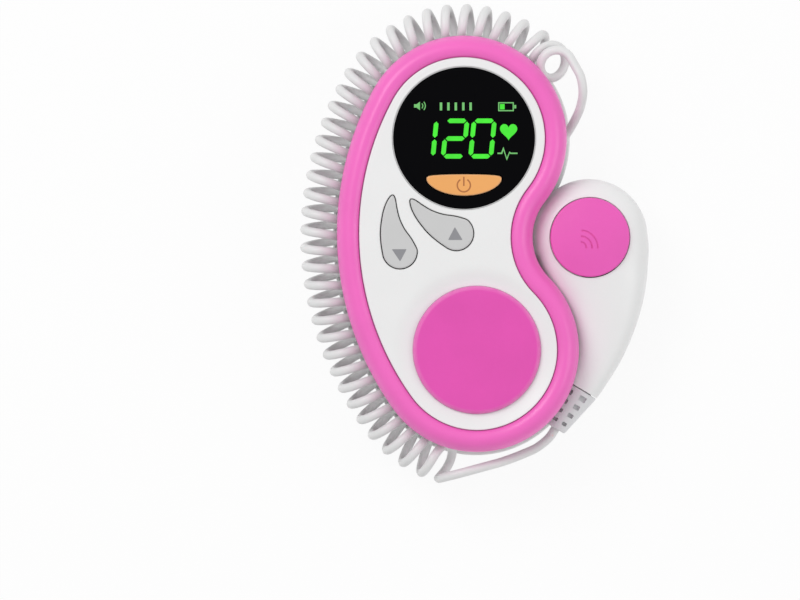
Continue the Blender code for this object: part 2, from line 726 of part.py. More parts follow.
def make_battery_door():
    """The door: a slice of the back with side tongues and thumb ribs, flush with the rim it ends at."""
    left, right, top = door_limits()
    bottom = LOWER_CENTRE.y - LOWER_RADIUS - FLANGE_REACH - OVERRUN
    door = rear_blank("battery_door")
    keep = box(
        "door_keep", (left + SEAT_GAP, bottom, -OVERRUN), (right - SEAT_GAP, top - SEAT_GAP, DOOR_THICKNESS))
    combine(door, keep, "INTERSECT")
    middle = DOOR_THICKNESS / 2.0
    half = DOOR_TONGUE_THICKNESS / 2.0
    join(door, box(
        "door_tongues", (left + SEAT_GAP - DOOR_TONGUE, bottom + DOOR_TONGUE_START, middle - half),
        (right - SEAT_GAP + DOOR_TONGUE, top - SEAT_GAP - DOOR_TONGUE, middle + half)))
    centre_x = (left + right) / 2.0
    for row in range(DOOR_GRIP_COUNT):
        low = bottom + OVERRUN + DOOR_GRIP_START + row * DOOR_GRIP_PITCH
        cut(door, box(
            f"door_grip_{row}", (centre_x - DOOR_GRIP_WIDTH / 2.0, low, -OVERRUN),
            (centre_x + DOOR_GRIP_WIDTH / 2.0, low + DOOR_GRIP_RIB, DOOR_GRIP_DEPTH)))
    return finish(door, "battery_door", WHITE, origin=Vector((centre_x, top, 0.0)))


def make_centre_frame():
    """The flange plate that closes the rear tray, and the drum wall that the cord is wound round."""
    drum_hole = body_outline(RING_WIDTH)
    frame = plate(
        "centre_frame", [body_outline(-FLANGE_REACH, FLANGE_WAIST_RADIUS), drum_hole[::-1]],
        FLANGE_BOTTOM, FLANGE_TOP, dissolve=False)
    wall = plate(
        "drum_wall", [body_outline(GROOVE_DEPTH), body_outline(RING_WIDTH)[::-1]],
        FLANGE_TOP - SINK, FRAME_TOP, dissolve=False)
    join(frame, wall)
    return finish(frame, "centre_frame", WHITE)


def make_bezel_ring():
    """The pink ring: a rounded section carried round the body outline."""
    section = bpy.data.curves.new("ring_section", "CURVE")
    section.dimensions = "2D"
    spline = section.splines.new("POLY")
    spline.points.add(len(RING_SECTION_SHARES) - 1)
    for point, (across, up) in zip(spline.points, RING_SECTION_SHARES):
        point.co = (across * RING_WIDTH, up * RING_HEIGHT, 0.0, 1.0)
    spline.use_cyclic_u = True
    guide = shaper(mesh_object("ring_section", section))
    path = bpy.data.curves.new("bezel_ring", "CURVE")
    path.dimensions = "2D"
    path.fill_mode = "NONE"
    path.bevel_mode = "OBJECT"
    path.bevel_object = guide
    outline = body_outline(0.0)
    spline = path.splines.new("POLY")
    spline.points.add(len(outline) - 1)
    for point, place in zip(spline.points, outline):
        point.co = (place.x, place.y, 0.0, 1.0)
    spline.use_cyclic_u = True
    swept = bpy.data.objects.new("bezel_ring", path)
    swept.location = (0.0, 0.0, RING_BOTTOM)
    PARTS.objects.link(swept)
    bpy.context.view_layer.update()
    evaluated = swept.evaluated_get(bpy.context.evaluated_depsgraph_get())
    mesh = bpy.data.meshes.new_from_object(evaluated)
    ring = mesh_object("bezel_ring", mesh)
    ring.matrix_world = swept.matrix_world
    bpy.data.objects.remove(swept, do_unlink=True)
    tidy_mesh(mesh, dissolve=False)
    return finish(ring, "bezel_ring", PINK, sharp=SOFT_SHARP_ANGLE)


def power_outline():
    """The half-moon: x runs as a cosine, the top and bottom edges as powers of the sine."""
    points = []
    for step in range(2 * POWER_STEPS):
        angle = math.pi * step / POWER_STEPS
        sine = abs(math.sin(angle))
        if step < POWER_STEPS:
            height = POWER_RISE * sine ** POWER_TOP_POWER
        else:
            height = -POWER_DROP * sine ** POWER_BOTTOM_POWER
        points.append(Vector((
            POWER_CENTRE.x + POWER_WIDTH / 2.0 * math.cos(angle), POWER_CENTRE.y + height)))
    return points


def teardrop_outline(tip, angle):
    """A bowed teardrop from its tip to its round end, counter-clockwise."""
    along = Vector((math.cos(angle), math.sin(angle)))
    side = Vector((along.y, -along.x))
    end = tip + along * (VOLUME_LENGTH * (1.0 - TEARDROP_END_SHARE))
    radius = VOLUME_LENGTH * TEARDROP_END_SHARE
    bowed = []
    plain = []
    for distance, bow, width in TEARDROP_SHARES:
        middle = tip + along * (VOLUME_LENGTH * distance) + side * (VOLUME_LENGTH * bow)
        bowed.append(middle + side * (VOLUME_LENGTH * width))
        plain.append(middle - side * (VOLUME_LENGTH * width))
    start = heading(Vector((0.0, 0.0)), side)
    round_end = arc_points(end, radius, start, start + math.pi, TEARDROP_END_STEPS)
    round_end.append(polar(end, radius, start + math.pi))
    return [tip] + bowed + round_end + plain[::-1]


def make_button(name, outline, stem, surface):
    """A button: its top through the face, a lip under the face and a stem over its switch."""
    button = plate(name, [outline], LIP_BOTTOM, FACE_TOP + BUTTON_PROUD)
    round_rim(button, FACE_TOP + BUTTON_PROUD, BUTTON_ROUNDING, 2)
    join(button, plate(f"{name}_lip", [grown(outline, BUTTON_LIP)], LIP_BOTTOM, LIP_TOP))
    join(button, rod(
        f"{name}_stem", stem, BUTTON_STEM_RADIUS, STEM_BOTTOM, LIP_BOTTOM + SINK, SCREW_STEPS))
    return finish(button, name, surface, origin=Vector((stem.x, stem.y, FACE_TOP)))


def button_stems():
    """The stem centre of each button, over its switch."""
    power = Vector((POWER_CENTRE.x, POWER_CENTRE.y - POWER_STEM_DROP))
    reach = VOLUME_LENGTH * (1.0 - TEARDROP_END_SHARE)
    return {
        "power_button": power,
        "volume_up_button": polar(VOLUME_UP_TIP, reach, VOLUME_UP_ANGLE),
        "volume_down_button": polar(VOLUME_DOWN_TIP, reach, VOLUME_DOWN_ANGLE),
    }


def button_outlines():
    """The outline of each button."""
    return {
        "power_button": power_outline(),
        "volume_up_button": teardrop_outline(VOLUME_UP_TIP, VOLUME_UP_ANGLE),
        "volume_down_button": teardrop_outline(VOLUME_DOWN_TIP, VOLUME_DOWN_ANGLE),
    }


def make_front_shell():
    """The white face with its skirt and screw bosses, cut for window, display, buttons and speaker."""
    shell = plate("front_shell", [body_outline(FACE_INSET)], FACE_BOTTOM, FACE_TOP)
    round_rim(shell, FACE_TOP, FACE_ROUNDING, 2)
    inner = body_outline(FACE_INSET + SKIRT_WALL)[::-1]
    join(shell, plate(
        "skirt", [body_outline(FACE_INSET), inner], FACE_BOTTOM - SKIRT_DEPTH, FACE_BOTTOM + SINK,
        dissolve=False))
    window_floor = FACE_TOP - WINDOW_THICKNESS - SEAT_GAP
    cut(shell, rod(
        "window_seat", UPPER_CENTRE, WINDOW_RADIUS + SEAT_GAP, window_floor, FACE_TOP + OVERRUN,
        WINDOW_STEPS))
    half_width = DISPLAY_WIDTH / 2.0 + SEAT_GAP
    half_height = DISPLAY_HEIGHT / 2.0 + SEAT_GAP
    middle = UPPER_CENTRE + Vector((0.0, DISPLAY_RISE))
    cut(shell, box(
        "display_hole", (middle.x - half_width, middle.y - half_height, FACE_BOTTOM - SINK),
        (middle.x + half_width, middle.y + half_height, FACE_TOP)))
    for name, outline in button_outlines().items():
        cut(shell, plate(
            f"{name}_hole", [grown(outline, BUTTON_GAP)], FACE_BOTTOM - SINK, FACE_TOP + OVERRUN))
    cover_floor = FACE_TOP - COVER_THICKNESS - SEAT_GAP
    cut(shell, rod(
        "cover_seat", LOWER_CENTRE, COVER_RADIUS + SEAT_GAP, cover_floor, FACE_TOP + OVERRUN, COVER_STEPS))
    cut(shell, rod(
        "cover_hole", LOWER_CENTRE, SPEAKER_RADIUS - SPEAKER_RIM, FACE_BOTTOM - SINK, FACE_TOP, COVER_STEPS))
    for index, place in enumerate(screw_places()):
        over_board = index < len(UPPER_SCREW_ANGLES)
        bottom = BOSS_BOTTOM if over_board else POST_TOP + SEAT_GAP
        join(shell, rod(f"boss_{index}", place, BOSS_RADIUS, bottom, FACE_BOTTOM + SINK, SCREW_STEPS))
    for index, place in enumerate(screw_places()):
        top = BOSS_BOTTOM + SCREW_BITE + SEAT_GAP
        cut(shell, rod(f"boss_bore_{index}", place, SCREW_RADIUS + SEAT_GAP, POST_TOP, top, SCREW_STEPS))
    return finish(shell, "front_shell", WHITE)


def make_window():
    """The black window disc, cut for the power button."""
    bottom = FACE_TOP - WINDOW_THICKNESS
    window = rod("display_window", UPPER_CENTRE, WINDOW_RADIUS, bottom, FACE_TOP, WINDOW_STEPS)
    round_rim(window, FACE_TOP, WINDOW_ROUNDING, 1)
    cut(window, plate(
        "window_power_hole", [grown(power_outline(), BUTTON_GAP)], bottom - SINK, FACE_TOP + OVERRUN))
    return finish(window, "display_window", BLACK_GLASS)


def make_display_module():
    """The lit display under the window."""
    top = FACE_TOP - WINDOW_THICKNESS - SEAT_GAP
    middle = UPPER_CENTRE + Vector((0.0, DISPLAY_RISE))
    half = Vector((DISPLAY_WIDTH / 2.0, DISPLAY_HEIGHT / 2.0))
    display = box(
        "display_module", (middle.x - half.x, middle.y - half.y, top - DISPLAY_THICKNESS),
        (middle.x + half.x, middle.y + half.y, top))
    leg = box(
        "display_leg", (middle.x - half.x / 2.0, middle.y + half.y - DISPLAY_LEG_DEPTH, BOARD_TOP + SEAT_GAP),
        (middle.x + half.x / 2.0, middle.y + half.y, top - DISPLAY_THICKNESS + SINK))
    join(display, leg)
    return finish(display, "display_module", DARK)


def make_speaker_cover():
    """The pink disc over the speaker: slightly crowned, with a soft rim."""
    bottom = FACE_TOP - COVER_THICKNESS
    rim = FACE_TOP - COVER_ROUNDING + COVER_CROWN / 2.0
    profile = [(COVER_RADIUS * out, FACE_TOP + COVER_CROWN * up) for out, up in COVER_CROWN_SHARES]
    profile += rounded_edge(COVER_RADIUS, rim, COVER_ROUNDING)
    profile += [(COVER_RADIUS, bottom), (0.0, bottom)]
    cover = turned("speaker_cover", profile, LOWER_CENTRE, COVER_STEPS)
    return finish(cover, "speaker_cover", DEEP_PINK, sharp=SOFT_SHARP_ANGLE)


def make_speaker():
    """The speaker: a dished basket with its magnet, and the paper cone in it."""
    top = FACE_BOTTOM - SEAT_GAP
    bottom = top - SPEAKER_DEPTH
    rim_inner = SPEAKER_RADIUS - SPEAKER_RIM
    magnet_top = bottom + SPEAKER_MAGNET_HEIGHT
    basket = [
        (0.0, magnet_top), (SPEAKER_MAGNET_RADIUS - SPEAKER_WALL, magnet_top),
        (rim_inner, top - SPEAKER_WALL), (rim_inner, top), (SPEAKER_RADIUS, top),
        (SPEAKER_RADIUS, top - 2.0 * SPEAKER_WALL), (SPEAKER_MAGNET_RADIUS, magnet_top - SPEAKER_WALL),
        (SPEAKER_MAGNET_RADIUS, bottom), (0.0, bottom)]
    finish(turned("speaker_basket", basket, LOWER_CENTRE, SPEAKER_STEPS), "speaker_basket", DARK)
    cone_rim = rim_inner - SEAT_GAP
    cone_floor = magnet_top + SEAT_GAP
    cone_radius = SPEAKER_MAGNET_RADIUS - CONE_INSET
    cone_top = cone_floor + CONE_THICKNESS
    cone = [
        (0.0, cone_top + DUST_CAP_RISE), (cone_radius / 2.0, cone_top + DUST_CAP_RISE / 2.0),
        (cone_radius, cone_top), (cone_rim - CONE_THICKNESS, top), (cone_rim, top),
        (cone_rim, top - SPEAKER_WALL / 2.0), (cone_radius, cone_floor), (0.0, cone_floor)]
    finish(turned("speaker_cone", cone, LOWER_CENTRE, SPEAKER_STEPS), "speaker_cone", PAPER)


def make_board():
    """The main circuit board, a disc in the upper lobe with a tongue under the buttons."""
    board = rod("main_board", UPPER_CENTRE, BOARD_RADIUS, BOARD_BOTTOM, BOARD_TOP, COVER_STEPS)
    tongue = box(
        "board_tongue", (UPPER_CENTRE.x - BOARD_LEFT, UPPER_CENTRE.y - BOARD_DROP, BOARD_BOTTOM),
        (UPPER_CENTRE.x + BOARD_RIGHT, UPPER_CENTRE.y - BOARD_RADIUS / 2.0, BOARD_TOP))
    join(board, tongue)
    for index, place in enumerate(screw_places()[:len(UPPER_SCREW_ANGLES)]):
        cut(board, rod(
            f"board_bore_{index}", place, SCREW_RADIUS + SEAT_GAP, BOARD_BOTTOM - OVERRUN,
            BOARD_TOP + OVERRUN, SCREW_STEPS))
    return finish(board, "main_board", BOARD_GREEN)


def make_switches():
    """The three push switches on the board, one under each button."""
    tip_bottom = SWITCH_TIP_TOP - SWITCH_TIP_HEIGHT
    half = SWITCH_SIDE / 2.0
    for button, stem in button_stems().items():
        name = button.replace("button", "switch")
        body = box(
            name, (stem.x - half, stem.y - half, SWITCH_BOTTOM), (stem.x + half, stem.y + half, tip_bottom))
        join(body, rod(
            f"{name}_tip", stem, SWITCH_TIP_RADIUS, tip_bottom - SINK, SWITCH_TIP_TOP, SCREW_STEPS))
        finish(body, name, DARK)


def make_chip():
    """The main chip on the board."""
    centre = UPPER_CENTRE + CHIP_OFFSET
    half = CHIP_SIDE / 2.0
    bottom = BOARD_TOP + SEAT_GAP
    chip = box(
        "main_chip", (centre.x - half, centre.y - half, bottom),
        (centre.x + half, centre.y + half, bottom + CHIP_HEIGHT))
    return finish(chip, "main_chip", DARK)


def make_tray():
    """The battery tray: a box that opens to the back."""
    half_width, half_length, centre = tray_size()
    bottom = REAR_FLOOR + SEAT_GAP
    inner_top = bottom + 2.0 * CELL_RADIUS + 2.0 * SEAT_GAP
    tray = box(
        "battery_tray", (centre.x - half_width, centre.y - half_length, bottom),
        (centre.x + half_width, centre.y + half_length, inner_top + TRAY_WALL))
    inner = Vector((half_width - TRAY_WALL, half_length - TRAY_WALL))
    cut(tray, box(
        "tray_hollow", (centre.x - inner.x, centre.y - inner.y, bottom - OVERRUN),
        (centre.x + inner.x, centre.y + inner.y, inner_top)))
    return finish(tray, "battery_tray", WHITE)


def cell_places():
    """Each cell's centre and the way its nub points along Y."""
    _, _, centre = tray_size()
    reach = CELL_RADIUS + CELL_SIDE_GAP / 2.0
    return ((Vector((centre.x - reach, centre.y)), 1.0), (Vector((centre.x + reach, centre.y)), -1.0))


def make_cells():
    """Two cells side by side, nubs opposite ways, with the contact plates and springs at their ends."""
    level = REAR_FLOOR + 2.0 * SEAT_GAP + CELL_RADIUS
    half = CELL_LENGTH / 2.0
    body = half - CELL_NUB_LENGTH
    profile = [
        (0.0, half), (CELL_NUB_RADIUS, half), (CELL_NUB_RADIUS, body), (CELL_RADIUS, body),
        (CELL_RADIUS, -half), (0.0, -half)]
    _, half_length, centre = tray_size()
    wall = half_length - TRAY_WALL - SEAT_GAP
    side = CONTACT_SIDE / 2.0
    for index, (place, way) in enumerate(cell_places(), 1):
        turn = Matrix.Rotation(-way * math.pi / 2.0, 3, "X")
        cell = baked(turned(f"battery_cell_{index}", profile, Vector((0.0, 0.0)), CELL_STEPS))
        move_to(cell, place + Vector((0.0, way * CELL_SHIFT)), level, turn)
        finish(cell, f"battery_cell_{index}", CELL_JACKET)
        contact = box(
            f"battery_contact_{index}", (place.x - side, centre.y + wall - CONTACT_THICKNESS, level - side),
            (place.x + side, centre.y + wall, level + side))
        finish(contact, f"battery_contact_{index}", STEEL)
        spring_base = centre.y - way * (wall - CONTACT_THICKNESS - SEAT_GAP)
        spring_tip = place.y - way * (half - CELL_SHIFT + SEAT_GAP)
        length = abs(spring_base - spring_tip)
        spring = rod(
            f"contact_spring_{index}", Vector((0.0, 0.0)), SPRING_RADIUS, -length / 2.0, length / 2.0,
            CELL_STEPS, SPRING_TIP_RADIUS)
        move_to(spring, Vector((place.x, (spring_base + spring_tip) / 2.0)), level, turn)
        finish(spring, f"contact_spring_{index}", STEEL)
    bridge = box(
        "battery_bridge", (cell_places()[0][0].x - side, centre.y - wall, level - side),
        (cell_places()[1][0].x + side, centre.y - wall + CONTACT_THICKNESS, level + side))
    finish(bridge, "battery_bridge", STEEL)


def make_case_screws():
    """The four case screws, in from the back."""
    for index, place in enumerate(screw_places(), 1):
        head_top = SCREW_HEAD_INSET + SCREW_HEAD_HEIGHT
        top = BOSS_BOTTOM + SCREW_BITE
        profile = [
            (0.0, top), (SCREW_RADIUS, top), (SCREW_RADIUS, head_top), (SCREW_HEAD_RADIUS, head_top),
            (SCREW_HEAD_RADIUS, SCREW_HEAD_INSET), (0.0, SCREW_HEAD_INSET)]
        finish(turned(f"case_screw_{index}", profile, place, SCREW_STEPS), f"case_screw_{index}", STEEL)


def gland_frame():
    """The gland's middle, and the direction along the groove in which the cord leaves it."""
    reach = UPPER_RADIUS - GROOVE_DEPTH + SEAT_GAP + GLAND_RADIUS
    middle = polar(UPPER_CENTRE, reach, GLAND_ANGLE)
    return middle, Vector((-math.sin(GLAND_ANGLE), math.cos(GLAND_ANGLE)))


def make_gland():
    """The gland: a foot against the drum wall with a tapered nose that the cord leaves."""
    middle, along = gland_frame()
    radial = Vector((along.y, -along.x))
    depth = 2.0 * GLAND_RADIUS
    gland = box(
        "cord_gland", (-depth / 2.0, -GLAND_LENGTH / 2.0, -GLAND_HEIGHT / 2.0),
        (depth / 2.0, GLAND_LENGTH / 2.0, GLAND_HEIGHT / 2.0))
    rim = gland.modifiers.new("edges", "BEVEL")
    rim.width = GLAND_ROUNDING
    rim.segments = 2
    baked(gland)
    nose = rod(
        "gland_nose", Vector((0.0, 0.0)), GLAND_RADIUS - GLAND_ROUNDING / 2.0,
        -GLAND_NOSE_LENGTH / 2.0 - SINK, GLAND_NOSE_LENGTH / 2.0, SCREW_STEPS, GLAND_NOSE_RADIUS)
    turn = Matrix.Rotation(math.atan2(radial.y, radial.x), 3, "Z")
    move_to(gland, middle, GROOVE_MIDDLE, turn)
    nose_middle = middle + along * (GLAND_LENGTH + GLAND_NOSE_LENGTH) / 2.0
    move_to(nose, nose_middle, GROOVE_MIDDLE, turn @ Matrix.Rotation(-math.pi / 2.0, 3, "X"))
    join(gland, nose)
    return finish(gland, "cord_gland", WHITE)


def make_cradle():
    """The curved wall in the waist that the probe head docks against."""
    inner = PROBE_HEAD_RADIUS + SEAT_GAP
    outer = WAIST_RADIUS + GROOVE_DEPTH - SEAT_GAP
    back = arc_points(PROBE_CENTRE, outer, CRADLE_START, CRADLE_END, CRADLE_STEPS)
    back.append(polar(PROBE_CENTRE, outer, CRADLE_END))
    front = arc_points(PROBE_CENTRE, inner, CRADLE_END, CRADLE_START, CRADLE_STEPS)
    front.append(polar(PROBE_CENTRE, inner, CRADLE_START))
    cradle = plate("probe_cradle", [back + front], FLANGE_TOP + SEAT_GAP, FRAME_TOP)
    return finish(cradle, "probe_cradle", WHITE)


def handle_axes():
    """Along the handle from the head's centre, and to its right."""
    along = Vector((math.cos(HANDLE_ANGLE), math.sin(HANDLE_ANGLE)))
    return along, Vector((-along.y, along.x))


def handle_row(distance):
    """The handle's middle and front height at a share of its length, read between the table's rows."""
    rows = np.array(HANDLE_SHARES)
    bow, rise = (float(np.interp(distance, rows[:, 0], rows[:, column])) for column in (1, 3))
    along, right = handle_axes()
    middle = PROBE_CENTRE + along * (HANDLE_LENGTH * distance) + right * (HANDLE_LENGTH * bow)
    return middle, NECK_RADIUS + (PROBE_RISE - NECK_RADIUS) * rise


def probe_sections(crown, power):
    """Middle, direction, half width and height of each section, from the head's tip to the neck."""
    lean = (handle_row(HANDLE_SHARES[1][0])[0] - PROBE_CENTRE).normalized()
    sections = []
    for step in range(1, PROBE_TIP_STEPS):
        angle = math.pi / 2.0 * (1.0 - step / PROBE_TIP_STEPS)
        reach = math.sin(angle)
        middle = PROBE_CENTRE - lean * (PROBE_HEAD_RADIUS * reach)
        height = crown * (1.0 - reach ** power) ** (1.0 / power)
        sections.append((middle, lean, PROBE_HEAD_RADIUS * math.cos(angle), height))
    middles = [handle_row(row[0])[0] for row in HANDLE_SHARES]
    for index, row in enumerate(HANDLE_SHARES):
        before = middles[max(index - 1, 0)]
        after = middles[min(index + 1, len(middles) - 1)]
        facing = (after - before).normalized()
        if index == len(middles) - 1:
            facing = Vector((math.cos(RELIEF_ANGLE), math.sin(RELIEF_ANGLE)))
        width = NECK_RADIUS + (PROBE_HEAD_RADIUS - NECK_RADIUS) * row[2]
        sections.append((middles[index], facing, width, NECK_RADIUS + (crown - NECK_RADIUS) * row[3]))
    return sections


def probe_half(name, crown, power, way):
    """Half of the probe's casing: half superellipses from side to side, lofted from the tip to the neck."""
    sections = probe_sections(crown, power)
    lean = sections[0][1]
    tip = PROBE_CENTRE - lean * PROBE_HEAD_RADIUS
    points = [(tip.x, tip.y, PROBE_SPLIT)]
    for middle, facing, width, height in sections:
        right = Vector((-facing.y, facing.x))
        for step in range(PROBE_SECTION_STEPS + 1):
            angle = math.pi * step / PROBE_SECTION_STEPS
            across = math.copysign(abs(math.cos(angle)) ** (2.0 / power), math.cos(angle)) * width
            up = abs(math.sin(angle)) ** (2.0 / power) * height
            if step in (0, PROBE_SECTION_STEPS):
                up = 0.0
            place = middle + right * across
            points.append((place.x, place.y, PROBE_SPLIT + way * up))
    ring = PROBE_SECTION_STEPS + 1
    faces = [(0, 1 + step, 2 + step) for step in range(PROBE_SECTION_STEPS)]
    for row in range(len(sections) - 1):
        for step in range(PROBE_SECTION_STEPS):
            first = 1 + row * ring + step
            faces.append((first, first + ring, first + ring + 1, first + 1))
    if way > 0.0:
        faces = [face[::-1] for face in faces]
    mesh = bpy.data.meshes.new(name)
    mesh.from_pydata(points, [], faces)
    half = mesh_object(name, mesh)
    wall = half.modifiers.new("wall", "SOLIDIFY")
    wall.thickness = PROBE_WALL
    wall.offset = -1.0
    wall.use_even_offset = True
    return half


def probe_screw_places():
    """The centres of the two probe screws, on the handle's middle line."""
    return [handle_row(share)[0] for share in PROBE_SCREW_SHARES]


def probe_screw_heights():
    """The height of the front shell over the seam at the two probe screws."""
    return [handle_row(share)[1] for share in PROBE_SCREW_SHARES]


def trim_flat(piece, name, level, way):
    """Cuts a probe half off square at the seam level."""
    reach = HANDLE_LENGTH + PROBE_HEAD_RADIUS
    low = level if way > 0.0 else level - reach
    high = level + reach if way > 0.0 else level
    return cut(piece, box(
        name, (PROBE_CENTRE.x - reach, PROBE_CENTRE.y - reach, low),
        (PROBE_CENTRE.x + reach, PROBE_CENTRE.y + reach, high)))


def make_probe_front():
    """The probe's front shell, with the cap's seat and the screw bosses."""
    level = PROBE_SPLIT + PROBE_SEAM / 2.0
    shell = probe_half("probe_front_shell", PROBE_RISE, PROBE_FRONT_POWER, 1.0)
    seat_radius = CAP_RADIUS + CAP_SEAT_MARGIN
    join(shell, rod(
        "cap_seat", PROBE_CENTRE, seat_radius, CAP_SEAT - CAP_SEAT_THICKNESS, CAP_SEAT, CAP_STEPS))
    cut(shell, rod(
        "cap_recess", PROBE_CENTRE, CAP_RADIUS + SEAT_GAP, CAP_SEAT - SEAT_GAP, PROBE_TOP + PROBE_DROP,
        CAP_STEPS))
    cut(shell, rod(
        "cap_wire_hole", PROBE_CENTRE, CAP_SEAT_HOLE_RADIUS, CAP_SEAT - PROBE_DROP, CAP_SEAT + SINK,
        CAP_STEPS))
    for index, (place, height) in enumerate(zip(probe_screw_places(), probe_screw_heights())):
        join(shell, rod(
            f"probe_boss_{index}", place, PROBE_POST_RADIUS, level, PROBE_SPLIT + height - PROBE_WALL / 2.0,
            SCREW_STEPS))
        cut(shell, rod(
            f"probe_boss_bore_{index}", place, PROBE_SCREW_RADIUS + SEAT_GAP, level - OVERRUN,
            level + PROBE_SCREW_BITE + SEAT_GAP, SCREW_STEPS))
    trim_flat(shell, "probe_front_trim", level, -1.0)
    return finish(shell, "probe_front_shell", WHITE, PROBE_DATUM)


def make_probe_rear():
    """The probe's rear shell, with the lens opening and the screw posts."""
    level = PROBE_SPLIT - PROBE_SEAM / 2.0
    shell = probe_half("probe_rear_shell", PROBE_DROP, PROBE_REAR_POWER, -1.0)
    cut(shell, rod(
        "lens_hole", PROBE_CENTRE, LENS_RADIUS + SEAT_GAP, PROBE_BOTTOM - OVERRUN, level - PROBE_WALL,
        CAP_STEPS))
    post_bottom = PROBE_BOTTOM + PROBE_WALL / 2.0
    for index, place in enumerate(probe_screw_places()):
        join(shell, rod(f"probe_post_{index}", place, PROBE_POST_RADIUS, post_bottom, level, SCREW_STEPS))
    for index, place in enumerate(probe_screw_places()):
        head_top = PROBE_BOTTOM + PROBE_WALL + PROBE_SCREW_HEAD_HEIGHT
        cut(shell, rod(
            f"probe_head_bore_{index}", place, PROBE_SCREW_HEAD_RADIUS + SEAT_GAP, PROBE_BOTTOM - OVERRUN,
            head_top + SEAT_GAP, SCREW_STEPS))
        cut(shell, rod(
            f"probe_shank_bore_{index}", place, PROBE_SCREW_RADIUS + SEAT_GAP, PROBE_BOTTOM - OVERRUN,
            level + OVERRUN, SCREW_STEPS))
    trim_flat(shell, "probe_rear_trim", level, 1.0)
    return finish(shell, "probe_rear_shell", WHITE, PROBE_DATUM)


def make_probe_cap():
    """The pink disc on the probe head, crowned, with a soft rim."""
    rim = PROBE_TOP + CAP_RISE - CAP_CROWN - CAP_ROUNDING
    profile = [(CAP_RADIUS * out, PROBE_TOP + CAP_RISE - CAP_CROWN * drop) for out, drop in CAP_CROWN_SHARES]
    profile += rounded_edge(CAP_RADIUS, rim, CAP_ROUNDING)
    profile += [(CAP_RADIUS, CAP_SEAT), (0.0, CAP_SEAT)]
    cap = turned("probe_cap", profile, PROBE_CENTRE, CAP_STEPS)
    return finish(cap, "probe_cap", DEEP_PINK, PROBE_DATUM, sharp=SOFT_SHARP_ANGLE)


def make_lens():
    """The acoustic lens: a cup through the rear shell, held by its flange inside."""
    rim = (LENS_RADIUS + LENS_FLANGE) / PROBE_HEAD_RADIUS
    rise = PROBE_DROP * (1.0 - rim ** PROBE_REAR_POWER) ** (1.0 / PROBE_REAR_POWER)
    flange_bottom = PROBE_SPLIT - rise + LENS_FLANGE_SLANT * PROBE_WALL + SEAT_GAP
    flange_top = flange_bottom + LENS_FLANGE_THICKNESS
    inner = LENS_RADIUS - LENS_WALL
    floor = LENS_LIFT + LENS_FLOOR
    profile = [
        (0.0, floor), (inner, floor), (inner, flange_top), (LENS_RADIUS + LENS_FLANGE, flange_top),
        (LENS_RADIUS + LENS_FLANGE, flange_bottom), (LENS_RADIUS, flange_bottom),
        (LENS_RADIUS, LENS_LIFT + LENS_ROUNDING), (LENS_RADIUS - LENS_ROUNDING, LENS_LIFT), (0.0, LENS_LIFT)]
    lens = turned("acoustic_lens", profile, PROBE_CENTRE, CAP_STEPS)
    return finish(lens, "acoustic_lens", LENS_GREY, PROBE_DATUM)


def make_crystals():
    """The two half-round crystals, one that sends and one that listens."""
    bottom = LENS_LIFT + LENS_FLOOR + SEAT_GAP
    top = bottom + CRYSTAL_THICKNESS
    for name, start, way in (("sending_crystal", 0.0, 1.0), ("listening_crystal", math.pi, -1.0)):
        centre = PROBE_CENTRE + Vector((0.0, way * CRYSTAL_GAP / 2.0))
        half = arc_points(centre, CRYSTAL_RADIUS, start, start + math.pi, CRYSTAL_STEPS)
        half.append(polar(centre, CRYSTAL_RADIUS, start + math.pi))
        finish(plate(name, [half], bottom, top), name, CERAMIC, PROBE_DATUM)


def make_holder_and_board():
    """The holder that presses the crystals on the lens, and the probe's circuit board on it."""
    bottom = LENS_LIFT + LENS_FLOOR + CRYSTAL_THICKNESS + 2.0 * SEAT_GAP
    outer = LENS_RADIUS - LENS_WALL - SEAT_GAP
    profile = [
        (0.0, bottom + HOLDER_WALL), (outer - HOLDER_WALL, bottom + HOLDER_WALL),
        (outer - HOLDER_WALL, HOLDER_TOP), (outer, HOLDER_TOP), (outer, bottom), (0.0, bottom)]
    finish(turned("crystal_holder", profile, PROBE_CENTRE, CAP_STEPS), "crystal_holder", DARK, PROBE_DATUM)
    low = HOLDER_TOP + SEAT_GAP
    radius = outer - HOLDER_WALL / 4.0
    board = rod("probe_board", PROBE_CENTRE, radius, low, low + BOARD_THICKNESS, COVER_STEPS)
    finish(board, "probe_board", BOARD_GREEN, PROBE_DATUM)


def make_probe_screws():
    """The two probe screws, in from the back."""
    for index, place in enumerate(probe_screw_places(), 1):
        head_bottom = PROBE_BOTTOM + PROBE_WALL
        head_top = head_bottom + PROBE_SCREW_HEAD_HEIGHT
        top = PROBE_SPLIT + PROBE_SEAM / 2.0 + PROBE_SCREW_BITE
        profile = [
            (0.0, top), (PROBE_SCREW_RADIUS, top), (PROBE_SCREW_RADIUS, head_top),
            (PROBE_SCREW_HEAD_RADIUS, head_top), (PROBE_SCREW_HEAD_RADIUS, head_bottom), (0.0, head_bottom)]
        name = f"probe_screw_{index}"
        finish(turned(name, profile, place, SCREW_STEPS), name, STEEL, PROBE_DATUM)


def relief_frame():
    """The strain relief's seam centre, its direction and the direction across it."""
    along = Vector((math.cos(RELIEF_ANGLE), math.sin(RELIEF_ANGLE)))
    return handle_row(1.0)[0], along, Vector((-along.y, along.x))


